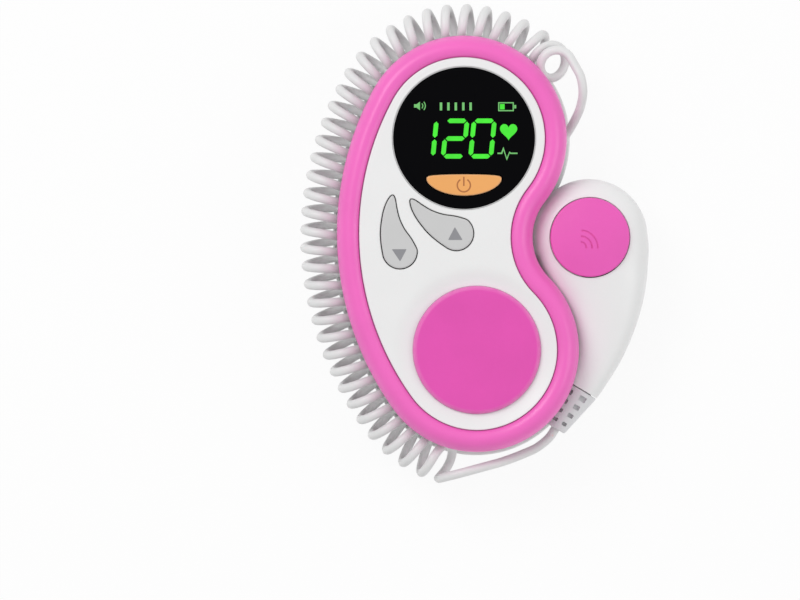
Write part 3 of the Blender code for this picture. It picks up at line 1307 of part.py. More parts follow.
def make_strain_relief():
    """The tapered strain relief with two columns of slots on its front and back, plugged into the neck."""
    seam, along, across = relief_frame()
    turn = Matrix.Rotation(RELIEF_ANGLE, 3, "Z") @ Matrix.Rotation(math.pi / 2.0, 3, "Y")
    start = SEAT_GAP
    relief = rod(
        "strain_relief", Vector((0.0, 0.0)), NECK_RADIUS, -(RELIEF_LENGTH - start) / 2.0,
        (RELIEF_LENGTH - start) / 2.0, RELIEF_STEPS, RELIEF_END_RADIUS)
    move_to(relief, seam + along * (RELIEF_LENGTH + start) / 2.0, PROBE_SPLIT, turn)
    plug = rod(
        "relief_plug", Vector((0.0, 0.0)), RELIEF_PLUG_RADIUS, -(RELIEF_PLUG_LENGTH + start) / 2.0 - SINK,
        (RELIEF_PLUG_LENGTH + start) / 2.0 + SINK, RELIEF_STEPS)
    move_to(plug, seam + along * (start - RELIEF_PLUG_LENGTH) / 2.0, PROBE_SPLIT, turn)
    join(relief, plug)
    for row in range(SLOT_ROWS):
        distance = SLOT_FIRST + row * SLOT_PITCH
        radius = NECK_RADIUS + (RELIEF_END_RADIUS - NECK_RADIUS) * distance / RELIEF_LENGTH
        width = radius * SLOT_WIDTH_SHARE
        length = radius * SLOT_LENGTH_SHARE
        for side in (1.0, -1.0):
            centre = seam + along * distance + across * (side * radius * SLOT_SPREAD_SHARE)
            for face in (1.0, -1.0):
                surface = PROBE_SPLIT + face * radius
                slot = box(
                    f"slot_{row}_{side}_{face}", (-length / 2.0, -width / 2.0, -SLOT_DEPTH),
                    (length / 2.0, width / 2.0, SLOT_DEPTH))
                move_to(slot, centre, surface, Matrix.Rotation(RELIEF_ANGLE, 3, "Z"))
                cut(relief, slot)
    return finish(relief, "strain_relief", WHITE, PROBE_DATUM)


def tube(name, points, resolution, surface, datum=None):
    """A round tube through points."""
    curve = bpy.data.curves.new(name, "CURVE")
    curve.dimensions = "3D"
    curve.bevel_depth = CORD_RADIUS
    curve.bevel_resolution = resolution
    curve.use_fill_caps = True
    spline = curve.splines.new("POLY")
    spline.points.add(len(points) - 1)
    for point, place in zip(spline.points, points):
        point.co = (place[0], place[1], place[2], 1.0)
    made = bpy.data.objects.new(name, curve)
    PARTS.objects.link(made)
    return finish(made, name, surface, datum)


def smooth_step(share):
    """Eases from 0 to 1."""
    share = np.clip(share, 0.0, 1.0)
    return share * share * (3.0 - 2.0 * share)


def groove_place(distance):
    """Where the curls' middle line is after a distance along the groove, and which way is outwards."""
    start = CURL_START_ANGLE
    for centre, radius, _, end, _ in body_arcs(-CURL_AXIS_REACH, WAIST_RADIUS - CURL_AXIS_REACH)[:3]:
        length = (end - start) * radius
        if distance <= length or centre == LOWER_CENTRE:
            angle = start + distance / radius
            return centre + Vector((math.cos(angle), math.sin(angle))) * radius, angle
        distance -= length
        start = end
    return centre, start


def groove_length():
    """The length of the curls' middle line from its first angle to its last."""
    upper, side, lower = body_arcs(-CURL_AXIS_REACH, WAIST_RADIUS - CURL_AXIS_REACH)[:3]
    return (
        upper[1] * (upper[3] - CURL_START_ANGLE) + side[1] * (side[3] - side[2])
        + lower[1] * (CURL_END_ANGLE - lower[2]))


def curl_point(travel, phase, released):
    """A point of the curly cord. The middle line first drops from over the groove and turns along it.

    Over the last turns the middle line moves out and onward and the curl swings round, as released goes to 1.
    """
    quarter = TURN_IN_RADIUS * math.pi / 2.0
    lean = min(travel / TURN_IN_RADIUS, math.pi / 2.0)
    distance = TURN_IN_RADIUS * (1.0 - math.cos(lean)) + max(travel - quarter, 0.0)
    level = CURL_LEVEL + TURN_IN_RADIUS * (1.0 - math.sin(lean))
    settled = float(smooth_step(travel / SETTLE_LENGTH))
    centre, angle = groove_place(distance)
    outward = np.array((math.cos(angle), math.sin(angle), 0.0))
    onward = np.array((-math.sin(angle), math.cos(angle), 0.0))
    upward = math.cos(lean) * onward + math.sin(lean) * np.array((0.0, 0.0, 1.0))
    reach = FIRST_CURL_REACH * (1.0 - settled) + CURL_DRIFT * min(travel / DRIFT_LENGTH, 1.0)
    middle = np.array((centre.x, centre.y, level)) + outward * (reach + RELEASE_REACH * released)
    middle = middle + onward * (RELEASE_ONWARD * released)
    radius = FIRST_CURL_RADIUS + (CURL_RADIUS - FIRST_CURL_RADIUS) * settled + RELEASE_SWELL * released
    swing = RELEASE_SWING * released
    spoke = math.cos(swing) * outward + math.sin(swing) * onward
    return middle + radius * (math.cos(phase) * spoke + math.sin(phase) * upward)


def curl_points():
    """The curly cord's points: travel grows with phase, faster over the first curls."""
    total = groove_length() - TURN_IN_RADIUS + TURN_IN_RADIUS * math.pi / 2.0
    travel = np.linspace(0.0, total, CURL_SAMPLES)
    opened = 1.0 + (FIRST_CURL_STRETCH - 1.0) * (1.0 - smooth_step(travel / SETTLE_LENGTH))
    turns = np.concatenate(([0.0], np.cumsum(np.diff(travel) / opened[1:])))
    span = math.tau * CURL_COUNT + CURL_PHASE_END - CURL_PHASE_START
    phase = CURL_PHASE_START + span * turns / turns[-1]
    count = round(span / math.tau * CURL_POINTS)
    wanted = np.linspace(phase[0], phase[-1], count + 1)
    released = smooth_step((wanted - phase[-1] + RELEASE_TURN) / RELEASE_TURN)
    along = np.interp(wanted, phase, travel)
    places = [curl_point(*map(float, row)) for row in zip(along, wanted, released)]
    first = places[0] - places[1]
    last = places[-1] - places[-2]
    last[2] = 0.0
    diameter = 2.0 * CORD_RADIUS
    lead_in = places[0] + first / np.linalg.norm(first) * diameter
    lead_out = places[-1] + last / np.linalg.norm(last) * diameter
    return [lead_in] + places + [lead_out]


def least_gap(points):
    """The least space between stretches of a tube that are more than three diameters apart along it."""
    route = np.array(points)
    steps = np.linalg.norm(np.diff(route, axis=0), axis=1)
    along = np.concatenate(([0.0], np.cumsum(steps)))
    fine = np.arange(0.0, along[-1], CORD_RADIUS / 2.0)
    dense = np.stack([np.interp(fine, along, route[:, axis]) for axis in range(3)], axis=1)
    apart = 6.0 * CORD_RADIUS
    least = float("inf")
    for index, place in enumerate(dense):
        later = dense[fine > fine[index] + apart]
        if len(later):
            least = min(least, float(np.linalg.norm(later - place, axis=1).min()))
    return least - 2.0 * CORD_RADIUS


def smooth_route(points):
    """A smooth curve through points: cubics between straight ends, read at even steps."""
    ends = [np.array(tuple(points[0])), np.array(tuple(points[-1]))]
    route = np.array([tuple(point) for point in points[1:-1]])
    knots = np.concatenate(([0.0], np.cumsum(np.linalg.norm(np.diff(route, axis=0), axis=1))))
    slopes = np.gradient(route, knots, axis=0)
    slopes[0] = (route[0] - ends[0]) / np.linalg.norm(route[0] - ends[0])
    slopes[-1] = (ends[1] - route[-1]) / np.linalg.norm(ends[1] - route[-1])
    count = max(int(round(knots[-1] / LEAD_POINT_STEP)), LEAD_LEAST_POINTS)
    places = [ends[0]]
    for reach in np.linspace(0.0, knots[-1], count + 1):
        index = min(int(np.searchsorted(knots, reach, side="right")) - 1, len(knots) - 2)
        width = knots[index + 1] - knots[index]
        share = (reach - knots[index]) / width
        start_weight = 2.0 * share ** 3 - 3.0 * share ** 2 + 1.0
        end_weight = 1.0 - start_weight
        start_slope = (share ** 3 - 2.0 * share ** 2 + share) * width
        end_slope = (share ** 3 - share ** 2) * width
        places.append(
            start_weight * route[index] + end_weight * route[index + 1]
            + start_slope * slopes[index] + end_slope * slopes[index + 1])
    return places + [ends[1]]


def lobe_route(centre, radius, rows):
    """Points in space from rows of reach outside a lobe, angle round it and height."""
    points = []
    for reach, angle, height in rows:
        place = polar(centre, radius + reach, angle)
        points.append(Vector((place.x, place.y, height)))
    return points


def make_cords():
    """The lead from the gland, the curly cord round the groove and the lead to the probe."""
    curls = curl_points()
    print(f"curly cord: least gap to itself {least_gap(curls) / MM:.2f} mm")
    tube("curly_cord", curls, 1, CORD_WHITE)
    diameter = 2.0 * CORD_RADIUS
    middle, along = gland_frame()
    exit_place = middle + along * (GLAND_LENGTH / 2.0 + GLAND_NOSE_LENGTH + CORD_GAP)
    out = Vector((exit_place.x, exit_place.y, GROOVE_MIDDLE))
    onward = Vector((along.x, along.y, 0.0)) * diameter
    arrival = Vector(curls[0])
    into = (Vector(curls[1]) - arrival).normalized()
    end = arrival - into * CORD_GAP
    bends = lobe_route(UPPER_CENTRE, UPPER_RADIUS, UNIT_LEAD_ROUTE)
    unit_route = [out, out + onward, *bends, end - into * CORD_RADIUS, end]
    tube("unit_lead", smooth_route(unit_route), 2, CORD_WHITE)
    departure = Vector(curls[-1])
    away = (departure - Vector(curls[-2])).normalized()
    begin = departure + away * CORD_GAP
    seam, relief_along, _ = relief_frame()
    mouth_flat = seam + relief_along * (RELIEF_LENGTH + CORD_GAP)
    mouth = Vector((mouth_flat.x, mouth_flat.y, PROBE_SPLIT))
    outward = Vector((relief_along.x, relief_along.y, 0.0)) * CORD_RADIUS
    bends = lobe_route(LOWER_CENTRE, LOWER_RADIUS, PROBE_LEAD_ROUTE)
    probe_route = [begin, begin + away * diameter, *bends, mouth + outward, mouth]
    tube("probe_lead", smooth_route(probe_route), 2, CORD_WHITE)


def build():
    """Makes every piece of the monitor."""
    make_rear_shell()
    make_battery_door()
    make_centre_frame()
    make_bezel_ring()
    make_front_shell()
    make_window()
    make_display_module()
    surfaces = {"power_button": ORANGE, "volume_up_button": GREY, "volume_down_button": GREY}
    stems = button_stems()
    for name, outline in button_outlines().items():
        make_button(name, outline, stems[name], surfaces[name])
    make_speaker_cover()
    make_speaker()
    make_board()
    make_switches()
    make_chip()
    make_tray()
    make_cells()
    make_case_screws()
    make_gland()
    make_cradle()
    make_probe_front()
    make_probe_rear()
    make_probe_cap()
    make_lens()
    make_crystals()
    make_holder_and_board()
    make_probe_screws()
    make_strain_relief()
    make_cords()
    bpy.context.view_layer.update()


build()
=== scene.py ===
"""Looks of a fetal doppler monitor: a kidney-shaped hand unit, its docked probe and its curly cord.

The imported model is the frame. +Z comes out of the face, +Y points to the display end and +X to
the probe.
"""
import math

import bmesh
import bpy
import numpy as np
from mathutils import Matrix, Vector
from mathutils.geometry import delaunay_2d_cdt


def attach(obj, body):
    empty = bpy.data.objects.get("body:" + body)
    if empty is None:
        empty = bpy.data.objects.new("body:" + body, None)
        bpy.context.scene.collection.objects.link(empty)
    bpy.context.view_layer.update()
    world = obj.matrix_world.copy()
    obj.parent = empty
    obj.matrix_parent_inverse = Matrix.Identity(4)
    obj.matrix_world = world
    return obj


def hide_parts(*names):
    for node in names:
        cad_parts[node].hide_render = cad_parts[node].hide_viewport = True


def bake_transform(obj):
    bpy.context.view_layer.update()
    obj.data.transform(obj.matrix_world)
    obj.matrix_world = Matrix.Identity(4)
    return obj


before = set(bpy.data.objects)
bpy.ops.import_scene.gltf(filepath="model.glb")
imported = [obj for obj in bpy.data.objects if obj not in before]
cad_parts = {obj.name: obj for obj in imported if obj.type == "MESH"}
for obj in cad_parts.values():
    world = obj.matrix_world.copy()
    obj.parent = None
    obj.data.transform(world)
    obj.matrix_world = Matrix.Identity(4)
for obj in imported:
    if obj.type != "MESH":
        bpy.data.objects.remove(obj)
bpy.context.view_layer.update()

bl_info = {
    "name": "Fetal doppler monitor",
    "version": (1, 0, 0),
    "blender": (4, 5, 0),
    "location": "3D View > Sidebar > Monitor",
    "description": "Builds the visible pieces of a fetal doppler monitor round its packed model",
    "category": "Add Mesh",
}

MM = 0.001
QUARTER = math.pi / 2.0
SKYWARD = np.array((0.0, 0.0, 1.0))
TINY = 1e-15

# Outline of the body: two lobes, a long side arc and a waist arc
UPPER_CENTRE = np.array((-1.9, 33.9)) * MM
LOWER_CENTRE = np.array((2.2, -33.9)) * MM
UPPER_RADIUS, LOWER_RADIUS = 33.0 * MM, 32.8 * MM
SIDE_RADIUS, WAIST_RADIUS = 97.0 * MM, 18.4 * MM
FLANGE_REACH, FLANGE_WAIST_RADIUS = 1.5 * MM, 26.0 * MM
OUTLINE_STEP = 1.1 * MM

# Levels from the back, and widths
REAR_TOP, REAR_FLOOR, REAR_WALL, REAR_ROUNDING = 6.0 * MM, 2.4 * MM, 2.0 * MM, 2.6 * MM
FLANGE_BOTTOM, FLANGE_TOP, FLANGE_ROUNDING = 6.3 * MM, 8.3 * MM, 0.6 * MM
FRAME_TOP, RING_BOTTOM, FACE_BOTTOM, FACE_TOP = 24.2 * MM, 24.5 * MM, 29.7 * MM, 32.2 * MM
RING_WIDTH, RING_SEEN_WIDTH, RING_HEIGHT = 6.8 * MM, 6.97 * MM, 8.5 * MM
GROOVE_DEPTH, GROOVE_MIDDLE = 4.8 * MM, 16.25 * MM
FACE_INSET, SEAT_GAP, EDGE_ROUNDING = 7.1 * MM, 0.3 * MM, 0.3 * MM
# Drum wall, inwards and up: its foot, its foot's top and its top
DRUM_FOOT, DRUM_FOOT_RISE, DRUM_FOOT_TOP = 0.2 * MM, 0.25 * MM, 0.7 * MM
DRUM_WALL = 1.9 * MM

# Section of the ring from its outer foot over the crest inwards, as shares of width and height
RING_SECTION_SHARES = np.array((
    (0.0, 0.0), (0.0, 0.30), (0.06, 0.54), (0.19, 0.77), (0.37, 0.93), (0.57, 1.0),
    (0.78, 0.98), (0.93, 0.90), (1.0, 0.79),
))

# Roundings of the face's edge and of its openings: window, volume buttons up and down, and pad
FACE_ROUNDINGS = np.array((0.45, 0.3, 0.35, 0.35, 0.12)) * MM

# Window, with its rim's section out from its loop and up from the face
WINDOW_RADIUS, WINDOW_THICKNESS = 22.7 * MM, 1.2 * MM
WINDOW_ROUNDINGS = (0.35 * MM, 0.2 * MM)
WINDOW_RIM = np.array(((-0.02, -0.9), (-0.02, 0.05), (0.1, 0.12), (0.22, 0.05), (0.22, -0.9))) * MM
WINDOW_RIM_GAP = 0.04 * MM

# Buttons: the power button's edges are powers of a sine, the volume buttons are teardrops
BUTTON_GAP, BUTTON_TOP, BUTTON_BOTTOM = 0.3 * MM, 32.9 * MM, 28.5 * MM
POWER_CENTRE = np.array((-1.9, 20.7)) * MM
POWER_WIDTH, POWER_RISE, POWER_DROP = 24.1 * MM, 1.6 * MM, 5.25 * MM
POWER_TOP_BEND, POWER_BOTTOM_BEND = 0.4, 1.2
VOLUME_LENGTH = 23.6 * MM
VOLUME_PLACES = {
    "volume_up_button": (np.array((-19.0, 14.2)) * MM, math.radians(-36.4)),
    "volume_down_button": (np.array((-24.8, 15.6)) * MM, math.radians(-82.5)),
}
# Shares of the teardrop's length: place, bow of the middle line and half width
TEARDROP_END_SHARE = 0.230
TEARDROP_SHARES = np.array((
    (0.0, 0.0, 0.012), (0.051, 0.018, 0.043), (0.156, 0.048, 0.077), (0.330, 0.070, 0.118),
    (0.482, 0.062, 0.160), (0.622, 0.030, 0.203),
    (1.0 - TEARDROP_END_SHARE, 0.0, TEARDROP_END_SHARE),
))

# Speaker pad
PAD_RADIUS, PAD_TOP, PAD_FOOT = 20.5 * MM, 32.7 * MM, 30.9 * MM
PAD_CROWN, PAD_SEAM = 0.25 * MM, 0.02 * MM

# Battery door, its tongues and its thumb grips
DOOR_LEFT, DOOR_RIGHT, DOOR_TOP, DOOR_THICKNESS = -12.05 * MM, 16.45 * MM, -5.25 * MM, 2.0 * MM
DOOR_TONGUE, DOOR_TONGUE_THICKNESS, DOOR_TONGUE_START = 1.0 * MM, 0.6 * MM, 19.0 * MM
DOOR_RUNNER_PLAY = 0.35 * MM
DOOR_GRIP_COUNT, DOOR_GRIP_WIDTH, DOOR_GRIP_RIB = 4, 12.0 * MM, 1.0 * MM
DOOR_GRIP_PITCH, DOOR_GRIP_DEPTH, DOOR_GRIP_START = 2.2 * MM, 0.5 * MM, 7.0 * MM

# Case screws and the posts that they bite in
SCREW_RADIUS, SCREW_HEAD_RADIUS, SCREW_HEAD_HEIGHT = 1.1 * MM, 2.3 * MM, 1.6 * MM
SCREW_HEAD_INSET, SCREW_TOP = 0.6 * MM, 26.8 * MM
POST_RADIUS, POST_TOP = 3.4 * MM, 20.1 * MM
CASE_SCREWS = np.array(((7.72, 52.0), (-11.52, 52.0), (22.13, -37.77), (-17.73, -37.77))) * MM
# Shares of a screw's head height, shank radius and head radius
HEAD_ROUNDING_SHARE, RECESS_DEPTH_SHARE = 0.4, 0.6
THREAD_PITCH_SHARE, THREAD_DEPTH_SHARE, TIP_SHARE = 0.75, 0.1, 0.3
RECESS_REACH_SHARE, RECESS_ARM_SHARE = 0.55, 0.12

# Probe's casing
PROBE_HEAD_RADIUS, PROBE_RISE, PROBE_DROP = 18.9 * MM, 12.3 * MM, 7.6 * MM
PROBE_SEAM, PROBE_WALL = 0.3 * MM, 1.6 * MM
PROBE_FRONT_POWER, PROBE_REAR_POWER = 2.6, 4.5
NECK_RADIUS = 6.5 * MM
# Shares along the handle: place, bow, width and rise
HANDLE_SHARES = np.array((
    (0.0, 0.0, 1.0, 1.0), (0.135, 0.037, 0.948, 0.94), (0.245, 0.066, 0.832, 0.80),
    (0.375, 0.095, 0.663, 0.60), (0.506, 0.106, 0.495, 0.42), (0.639, 0.104, 0.326, 0.27),
    (0.765, 0.086, 0.184, 0.15), (0.893, 0.047, 0.067, 0.05), (1.0, 0.0, 0.0, 0.0),
))
HANDLE_END_REACH, HANDLE_END_ANGLE = 2.73 * MM, math.radians(-20.44)

# Probe's cap with its sign of arcs
CAP_RADIUS, CAP_TOP, CAP_CROWN = 12.7 * MM, 29.45 * MM, 1.1 * MM
CAP_SEAT, CAP_ROUNDING = 25.95 * MM, 0.6 * MM
CAP_CROWN_SHARES = np.array(((0.0, 0.0), (0.5, 0.25), (1.0, 1.0)))
CAP_ARC_PLACE = np.array((-3.1, -3.4)) * MM
CAP_ARC_RADII = (1.9 * MM, 3.75 * MM, 5.6 * MM)
CAP_ARC_WIDTH, CAP_ARC_DEPTH = 0.5 * MM, 0.45 * MM
CAP_ARC_MIDDLE, CAP_ARC_SPREAD = math.radians(42.0), math.radians(44.0)

# Probe's lens and screws
LENS_RADIUS, LENS_BOTTOM, LENS_BULGE, LENS_ROUNDING = 14.0 * MM, 2.2 * MM, 0.35 * MM, 0.8 * MM
LENS_WALL, LENS_FLOOR, LENS_FLANGE_TOP = 1.0 * MM, 1.4 * MM, 13.0 * MM
PROBE_SCREW_SHARES, PROBE_SCREW_BITE = np.array((0.42, 0.80)), 3.0 * MM
PROBE_SCREW_RADIUS, PROBE_SCREW_HEAD_RADIUS = 0.9 * MM, 1.6 * MM
PROBE_SCREW_HEAD_HEIGHT, PROBE_POST_RADIUS = 1.0 * MM, 2.4 * MM

# Strain relief: its line, its plug in the neck, its mouth and its slots
RELIEF_END_REACH, RELIEF_END_ANGLE = 3.21 * MM, math.radians(-44.97)
RELIEF_END_RADIUS = 3.4 * MM
RELIEF_PLUG_DEPTH, RELIEF_PLUG_RADIUS, RELIEF_PLUG_END = 3.5 * MM, 4.4 * MM, 0.3 * MM
RELIEF_START, RELIEF_START_DROP, RELIEF_STOP, RELIEF_BEND = 0.6 * MM, 0.35 * MM, 0.5 * MM, 0.15 * MM
SLOT_ROWS, SLOT_FIRST, SLOT_PITCH, SLOT_DEPTH = 4, 2.6 * MM, 3.3 * MM, 2.2 * MM
SLOT_WIDTH_SHARE, SLOT_SPREAD_SHARE, SLOT_LENGTH_SHARE = 0.40, 0.42, 0.30
SLOT_ROUNDING = 0.3 * MM

# Gland: a block of superellipse sections, then a nose of shares of its length and radii
CORD_RADIUS, CORD_GAP = 1.45 * MM, 0.3 * MM
GLAND_ANGLE = math.radians(-19.0)
GLAND_RADIUS, GLAND_LENGTH, GLAND_HEIGHT = 2.1 * MM, 7.0 * MM, 7.0 * MM
GLAND_ROUNDING, GLAND_POWER = 0.6 * MM, 7.0
GLAND_NOSE_LENGTH, GLAND_NOSE_RADIUS = 3.0 * MM, 1.75 * MM
GLAND_NOSE = (
    (0.0, GLAND_RADIUS * 0.93), (0.5, GLAND_RADIUS * 0.90), (0.93, GLAND_NOSE_RADIUS),
    (1.0, GLAND_NOSE_RADIUS * 0.9),
)

# Curls of the cord
CURL_COUNT, CURL_RADIUS, CURL_AXIS_REACH = 38, 5.95 * MM, 2.8 * MM
CURL_DRIFT, DRIFT_LENGTH = 1.9 * MM, 130.0 * MM
CURL_LEVEL = FLANGE_TOP + SEAT_GAP + CURL_RADIUS + CORD_RADIUS
FIRST_CURL_RADIUS, FIRST_CURL_REACH, FIRST_CURL_STRETCH = 5.0 * MM, 2.2 * MM, 1.40
TURN_IN_RADIUS, SETTLE_LENGTH = 10.0 * MM, 27.0 * MM
CURL_START_ANGLE, CURL_END_ANGLE = math.radians(38.0), math.radians(256.9)
CURL_PHASE_START, CURL_PHASE_END = math.radians(-16.0), math.radians(90.0)
RELEASE_TURN, RELEASE_SWING = math.radians(370.0), math.radians(-58.0)
RELEASE_REACH, RELEASE_ONWARD, RELEASE_SWELL = 1.7 * MM, 5.2 * MM, 0.9 * MM
CURL_SAMPLES, CURL_POINTS = 4000, 24
# Points of the plain leads: reach outside the lobe, angle round it and height
UNIT_LEAD_ROUTE = np.array((
    (2.7 * MM, math.radians(8.3), 18.8 * MM), (6.1 * MM, math.radians(15.8), 23.4 * MM),
    (8.5 * MM, math.radians(23.2), 26.8 * MM),
))
PROBE_LEAD_ROUTE = np.array((
    (4.26 * MM, math.radians(-78.0), 21.0 * MM), (4.02 * MM, math.radians(-67.4), 19.0 * MM),
    (4.33 * MM, math.radians(-57.0), 17.3 * MM),
))

# Photograph's frame: its middle on the body, its width and how far the camera stands off, and
# where in it the body's origin is, with the size of one of its steps in millimetres
VIEW_MIDDLE = np.array((-22.4, -17.92)) * MM
VIEW_WIDTH, VIEW_DISTANCE = 256.0 * MM, 2.0
VIEW_ORIGIN, VIEW_STEP = (470.0, 244.0), 0.32

# Display: the digits' cells and bars in the photograph's frame
DIGIT_TOP, DIGIT_BOTTOM, DIGIT_WIDTH = 118.5, 158.6, 25.0
DIGIT_BAR, DIGIT_GAP, DIGIT_LEAN = 4.6, 0.75, 0.10
SIGN_SINK, LIT_SINK, SIGN_SOFTENING = 0.05 * MM, 0.1 * MM, 0.12 * MM
WAVE_RADII, WAVE_WIDTH, WAVE_SPREAD = (1.1 * MM, 1.9 * MM), 0.3 * MM, 0.75
POWER_SIGN_RADIUS, POWER_SIGN_BAND = 2.1 * MM, 0.46 * MM
POWER_SIGN_START, POWER_SIGN_END = math.radians(122.0), math.radians(418.0)
HEART_PLACE, HEART_SCALE = (508.6, 130.9), (0.54, 0.57)

# Stage: each lamp's place, size and power, and the floor's and world's plain tones
LAMPS = {"key_lamp": ((-0.72, 0.68, 1.1), 0.85, 8.6), "fill_lamp": ((1.15, -0.1, 0.9), 0.9, 4.0)}
SENSOR_WIDTH, CLIP_END = 36.0, 20.0
FLOOR_REACH, FLOOR_POINTS, FLOOR_DROP = 6.0, 9, 0.05 * MM
FLOOR_TONE, FLOOR_ROUGHNESS, FLOOR_SEEN = 0.88, 0.9, 0.90
WORLD_STRENGTH, WORLD_SEEN = 0.60, 1.0

# Plates: height of an even triangle, clear room past the rounding in shares and in metres, and
# a spacing so wide that no field points are made
ROW_SHARE, RING_SHARE, FIELD_SHARE, RING_CLEAR = 0.866, 1.25, 0.35, 0.02 * MM
PLATE_SHARP, MARK_SHARP, SHARP, ROUND_SHARP = 40.0, 30.0, 35.0, 50.0
COARSE, MEDIUM, FINE, FINEST = 4.0 * MM, 2.0 * MM, 1.5 * MM, 0.8 * MM
OVERLAP = 0.5 * MM
NO_FIELD = 1.0
MERGE, CDT_MERGE = 1e-6, 1e-5
# Points round each round shape, and along a screw's thread and the leads
CORD_SIDES, SCREW_ROUND, SMALL_ROUND, POST_ROUND = 18, 28, 32, 40
GLAND_ROUND, RELIEF_ROUND, BIG_ROUND, PAD_ROUND = 64, 72, 110, 128
PAD_HOLE_ROUND, FACE_ROUND, PROBE_COLUMNS = 130, 150, 49
THREAD_LEVELS, UNIT_LEAD_POINTS, PROBE_LEAD_POINTS = 90, 34, 40
POWER_STEP, VOLUME_STEP = 0.25 * MM, 0.3 * MM

# Finishes: how much tone, grain, and rim wear with a painted highlight change a colour, the
# roughness and the bump
GRAIN_LOW, GRAIN_HIGH, RIM_NOISE_SCALE, RIM_NOISE_DETAIL = 0.3, 0.7, 240.0, 5.0
# Rims lighten towards white: partly wear, partly a painted highlight on rounded edges
WORN_AND_HIGHLIT_SHARE, WORN_AND_HIGHLIT_LIFT, DIM_SHARE = 0.7, 0.3, 0.1
SMOOTHER, ROUGHER, LEAST_ROUGHNESS = 0.03, 0.06, 0.02
BUMP_STRENGTH, COAT_ROUGHNESS = 0.5, 0.08
SUBSURFACE_SCALE, SUBSURFACE_RADIUS = 1.0 * MM, (1.0, 0.8, 0.8)
MIX_FACTOR, MIX_FIRST, MIX_SECOND, MIX_RESULT = 0, 6, 7, 2


def direction(angle):
    """The unit vector at an angle, or at each of an array of angles."""
    return np.stack((np.cos(angle), np.sin(angle)), axis=-1)


def round_angles(count):
    """Angles of even steps round a full turn."""
    return math.tau * np.arange(count) / count


def quarter_turn(vectors):
    """Flat vectors turned a quarter counter-clockwise."""
    return np.stack((-vectors[..., 1], vectors[..., 0]), axis=-1)


def unit(vectors):
    """Vectors brought to length one."""
    return vectors / np.maximum(np.linalg.norm(vectors, axis=-1, keepdims=True), TINY)


def travelled(path):
    """The distance along a path at each of its points."""
    return np.append(0.0, np.cumsum(np.linalg.norm(np.diff(path, axis=0), axis=1)))


def circles_meet(first, first_reach, second, second_reach):
    """The point on the +X side at its reach from each of two centres: the two-circle formula."""
    distance = np.linalg.norm(second - first)
    along = (first_reach ** 2 - second_reach ** 2 + distance ** 2) / (2.0 * distance)
    across = math.sqrt(first_reach ** 2 - along ** 2)
    ahead = unit(second - first)
    side = quarter_turn(ahead)
    return first + ahead * along + (side if side[0] > 0.0 else -side) * across


PROBE_CENTRE = circles_meet(
    UPPER_CENTRE, UPPER_RADIUS + WAIST_RADIUS, LOWER_CENTRE, LOWER_RADIUS + WAIST_RADIUS)
SIDE_CENTRE = circles_meet(
    UPPER_CENTRE, SIDE_RADIUS - UPPER_RADIUS, LOWER_CENTRE, SIDE_RADIUS - LOWER_RADIUS)
NECK_PLACE = LOWER_CENTRE + direction(HANDLE_END_ANGLE) * (LOWER_RADIUS + HANDLE_END_REACH)
RELIEF_SPAN = (
    LOWER_CENTRE + direction(RELIEF_END_ANGLE) * (LOWER_RADIUS + RELIEF_END_REACH) - NECK_PLACE)
RELIEF_LENGTH = float(np.linalg.norm(RELIEF_SPAN))
RELIEF_ALONG = unit(RELIEF_SPAN)


def heading(start, end):
    """The angle of the line from one point to another."""
    return math.atan2(end[1] - start[1], end[0] - start[0])


def body_arcs(inset, waist_radius):
    """Centre, radius, first and last angle of the outline's four arcs, drawn in by inset."""
    upper, lower = UPPER_RADIUS - inset, LOWER_RADIUS - inset
    waist = circles_meet(UPPER_CENTRE, upper + waist_radius, LOWER_CENTRE, lower + waist_radius)
    upper_side = heading(SIDE_CENTRE, UPPER_CENTRE) % math.tau
    lower_side = heading(SIDE_CENTRE, LOWER_CENTRE) % math.tau
    upper_waist = heading(UPPER_CENTRE, waist)
    lower_waist = heading(LOWER_CENTRE, waist)
    return (
        (UPPER_CENTRE, upper, upper_waist, upper_side),
        (SIDE_CENTRE, SIDE_RADIUS - inset, upper_side, lower_side),
        (LOWER_CENTRE, lower, lower_side, lower_waist + math.tau),
        (waist, waist_radius, lower_waist + math.pi, upper_waist + math.pi),
    )


def body_outline(inset, waist_radius=None):
    """Points of the closed outline and its outward normals: each arc's radius turned round."""
    points, normals = [], []
    for centre, reach, start, end in body_arcs(inset, waist_radius or WAIST_RADIUS + inset):
        count = max(6, int(abs(end - start) * reach / OUTLINE_STEP))
        spokes = direction(start + (end - start) * np.arange(count) / count)
        points.append(centre + reach * spokes)
        normals.append(spokes if end > start else -spokes)
    return np.concatenate(points), np.concatenate(normals)


def circle(centre, radius, count):
    """Points of a circle."""
    return centre + radius * direction(round_angles(count))


def loop_normals(loop):
    """Outward normals of a counter-clockwise loop: the mean of the two sides' at each point."""
    normals = -quarter_turn(unit(np.roll(loop, -1, axis=0) - loop))
    return unit(normals + np.roll(normals, 1, axis=0))


def grown(loop, margin):
    """A counter-clockwise loop moved out along its normals."""
    return loop + loop_normals(loop) * margin


def resampled(loop, step):
    """A closed loop again with points about a step apart along it."""
    closed = np.concatenate((loop, loop[:1]))
    along = travelled(closed)
    wanted = np.linspace(0.0, along[-1], max(8, int(along[-1] / step)) + 1)[:-1]
    return np.stack([np.interp(wanted, along, closed[:, axis]) for axis in range(2)], axis=1)


def softened(loop, step, passes=3):
    """A closed loop at even steps, its corners rounded by averaging neighbours."""
    loop = resampled(loop, step)
    for _ in range(passes):
        loop = (np.roll(loop, 1, axis=0) + 2.0 * loop + np.roll(loop, -1, axis=0)) / 4.0
    return loop


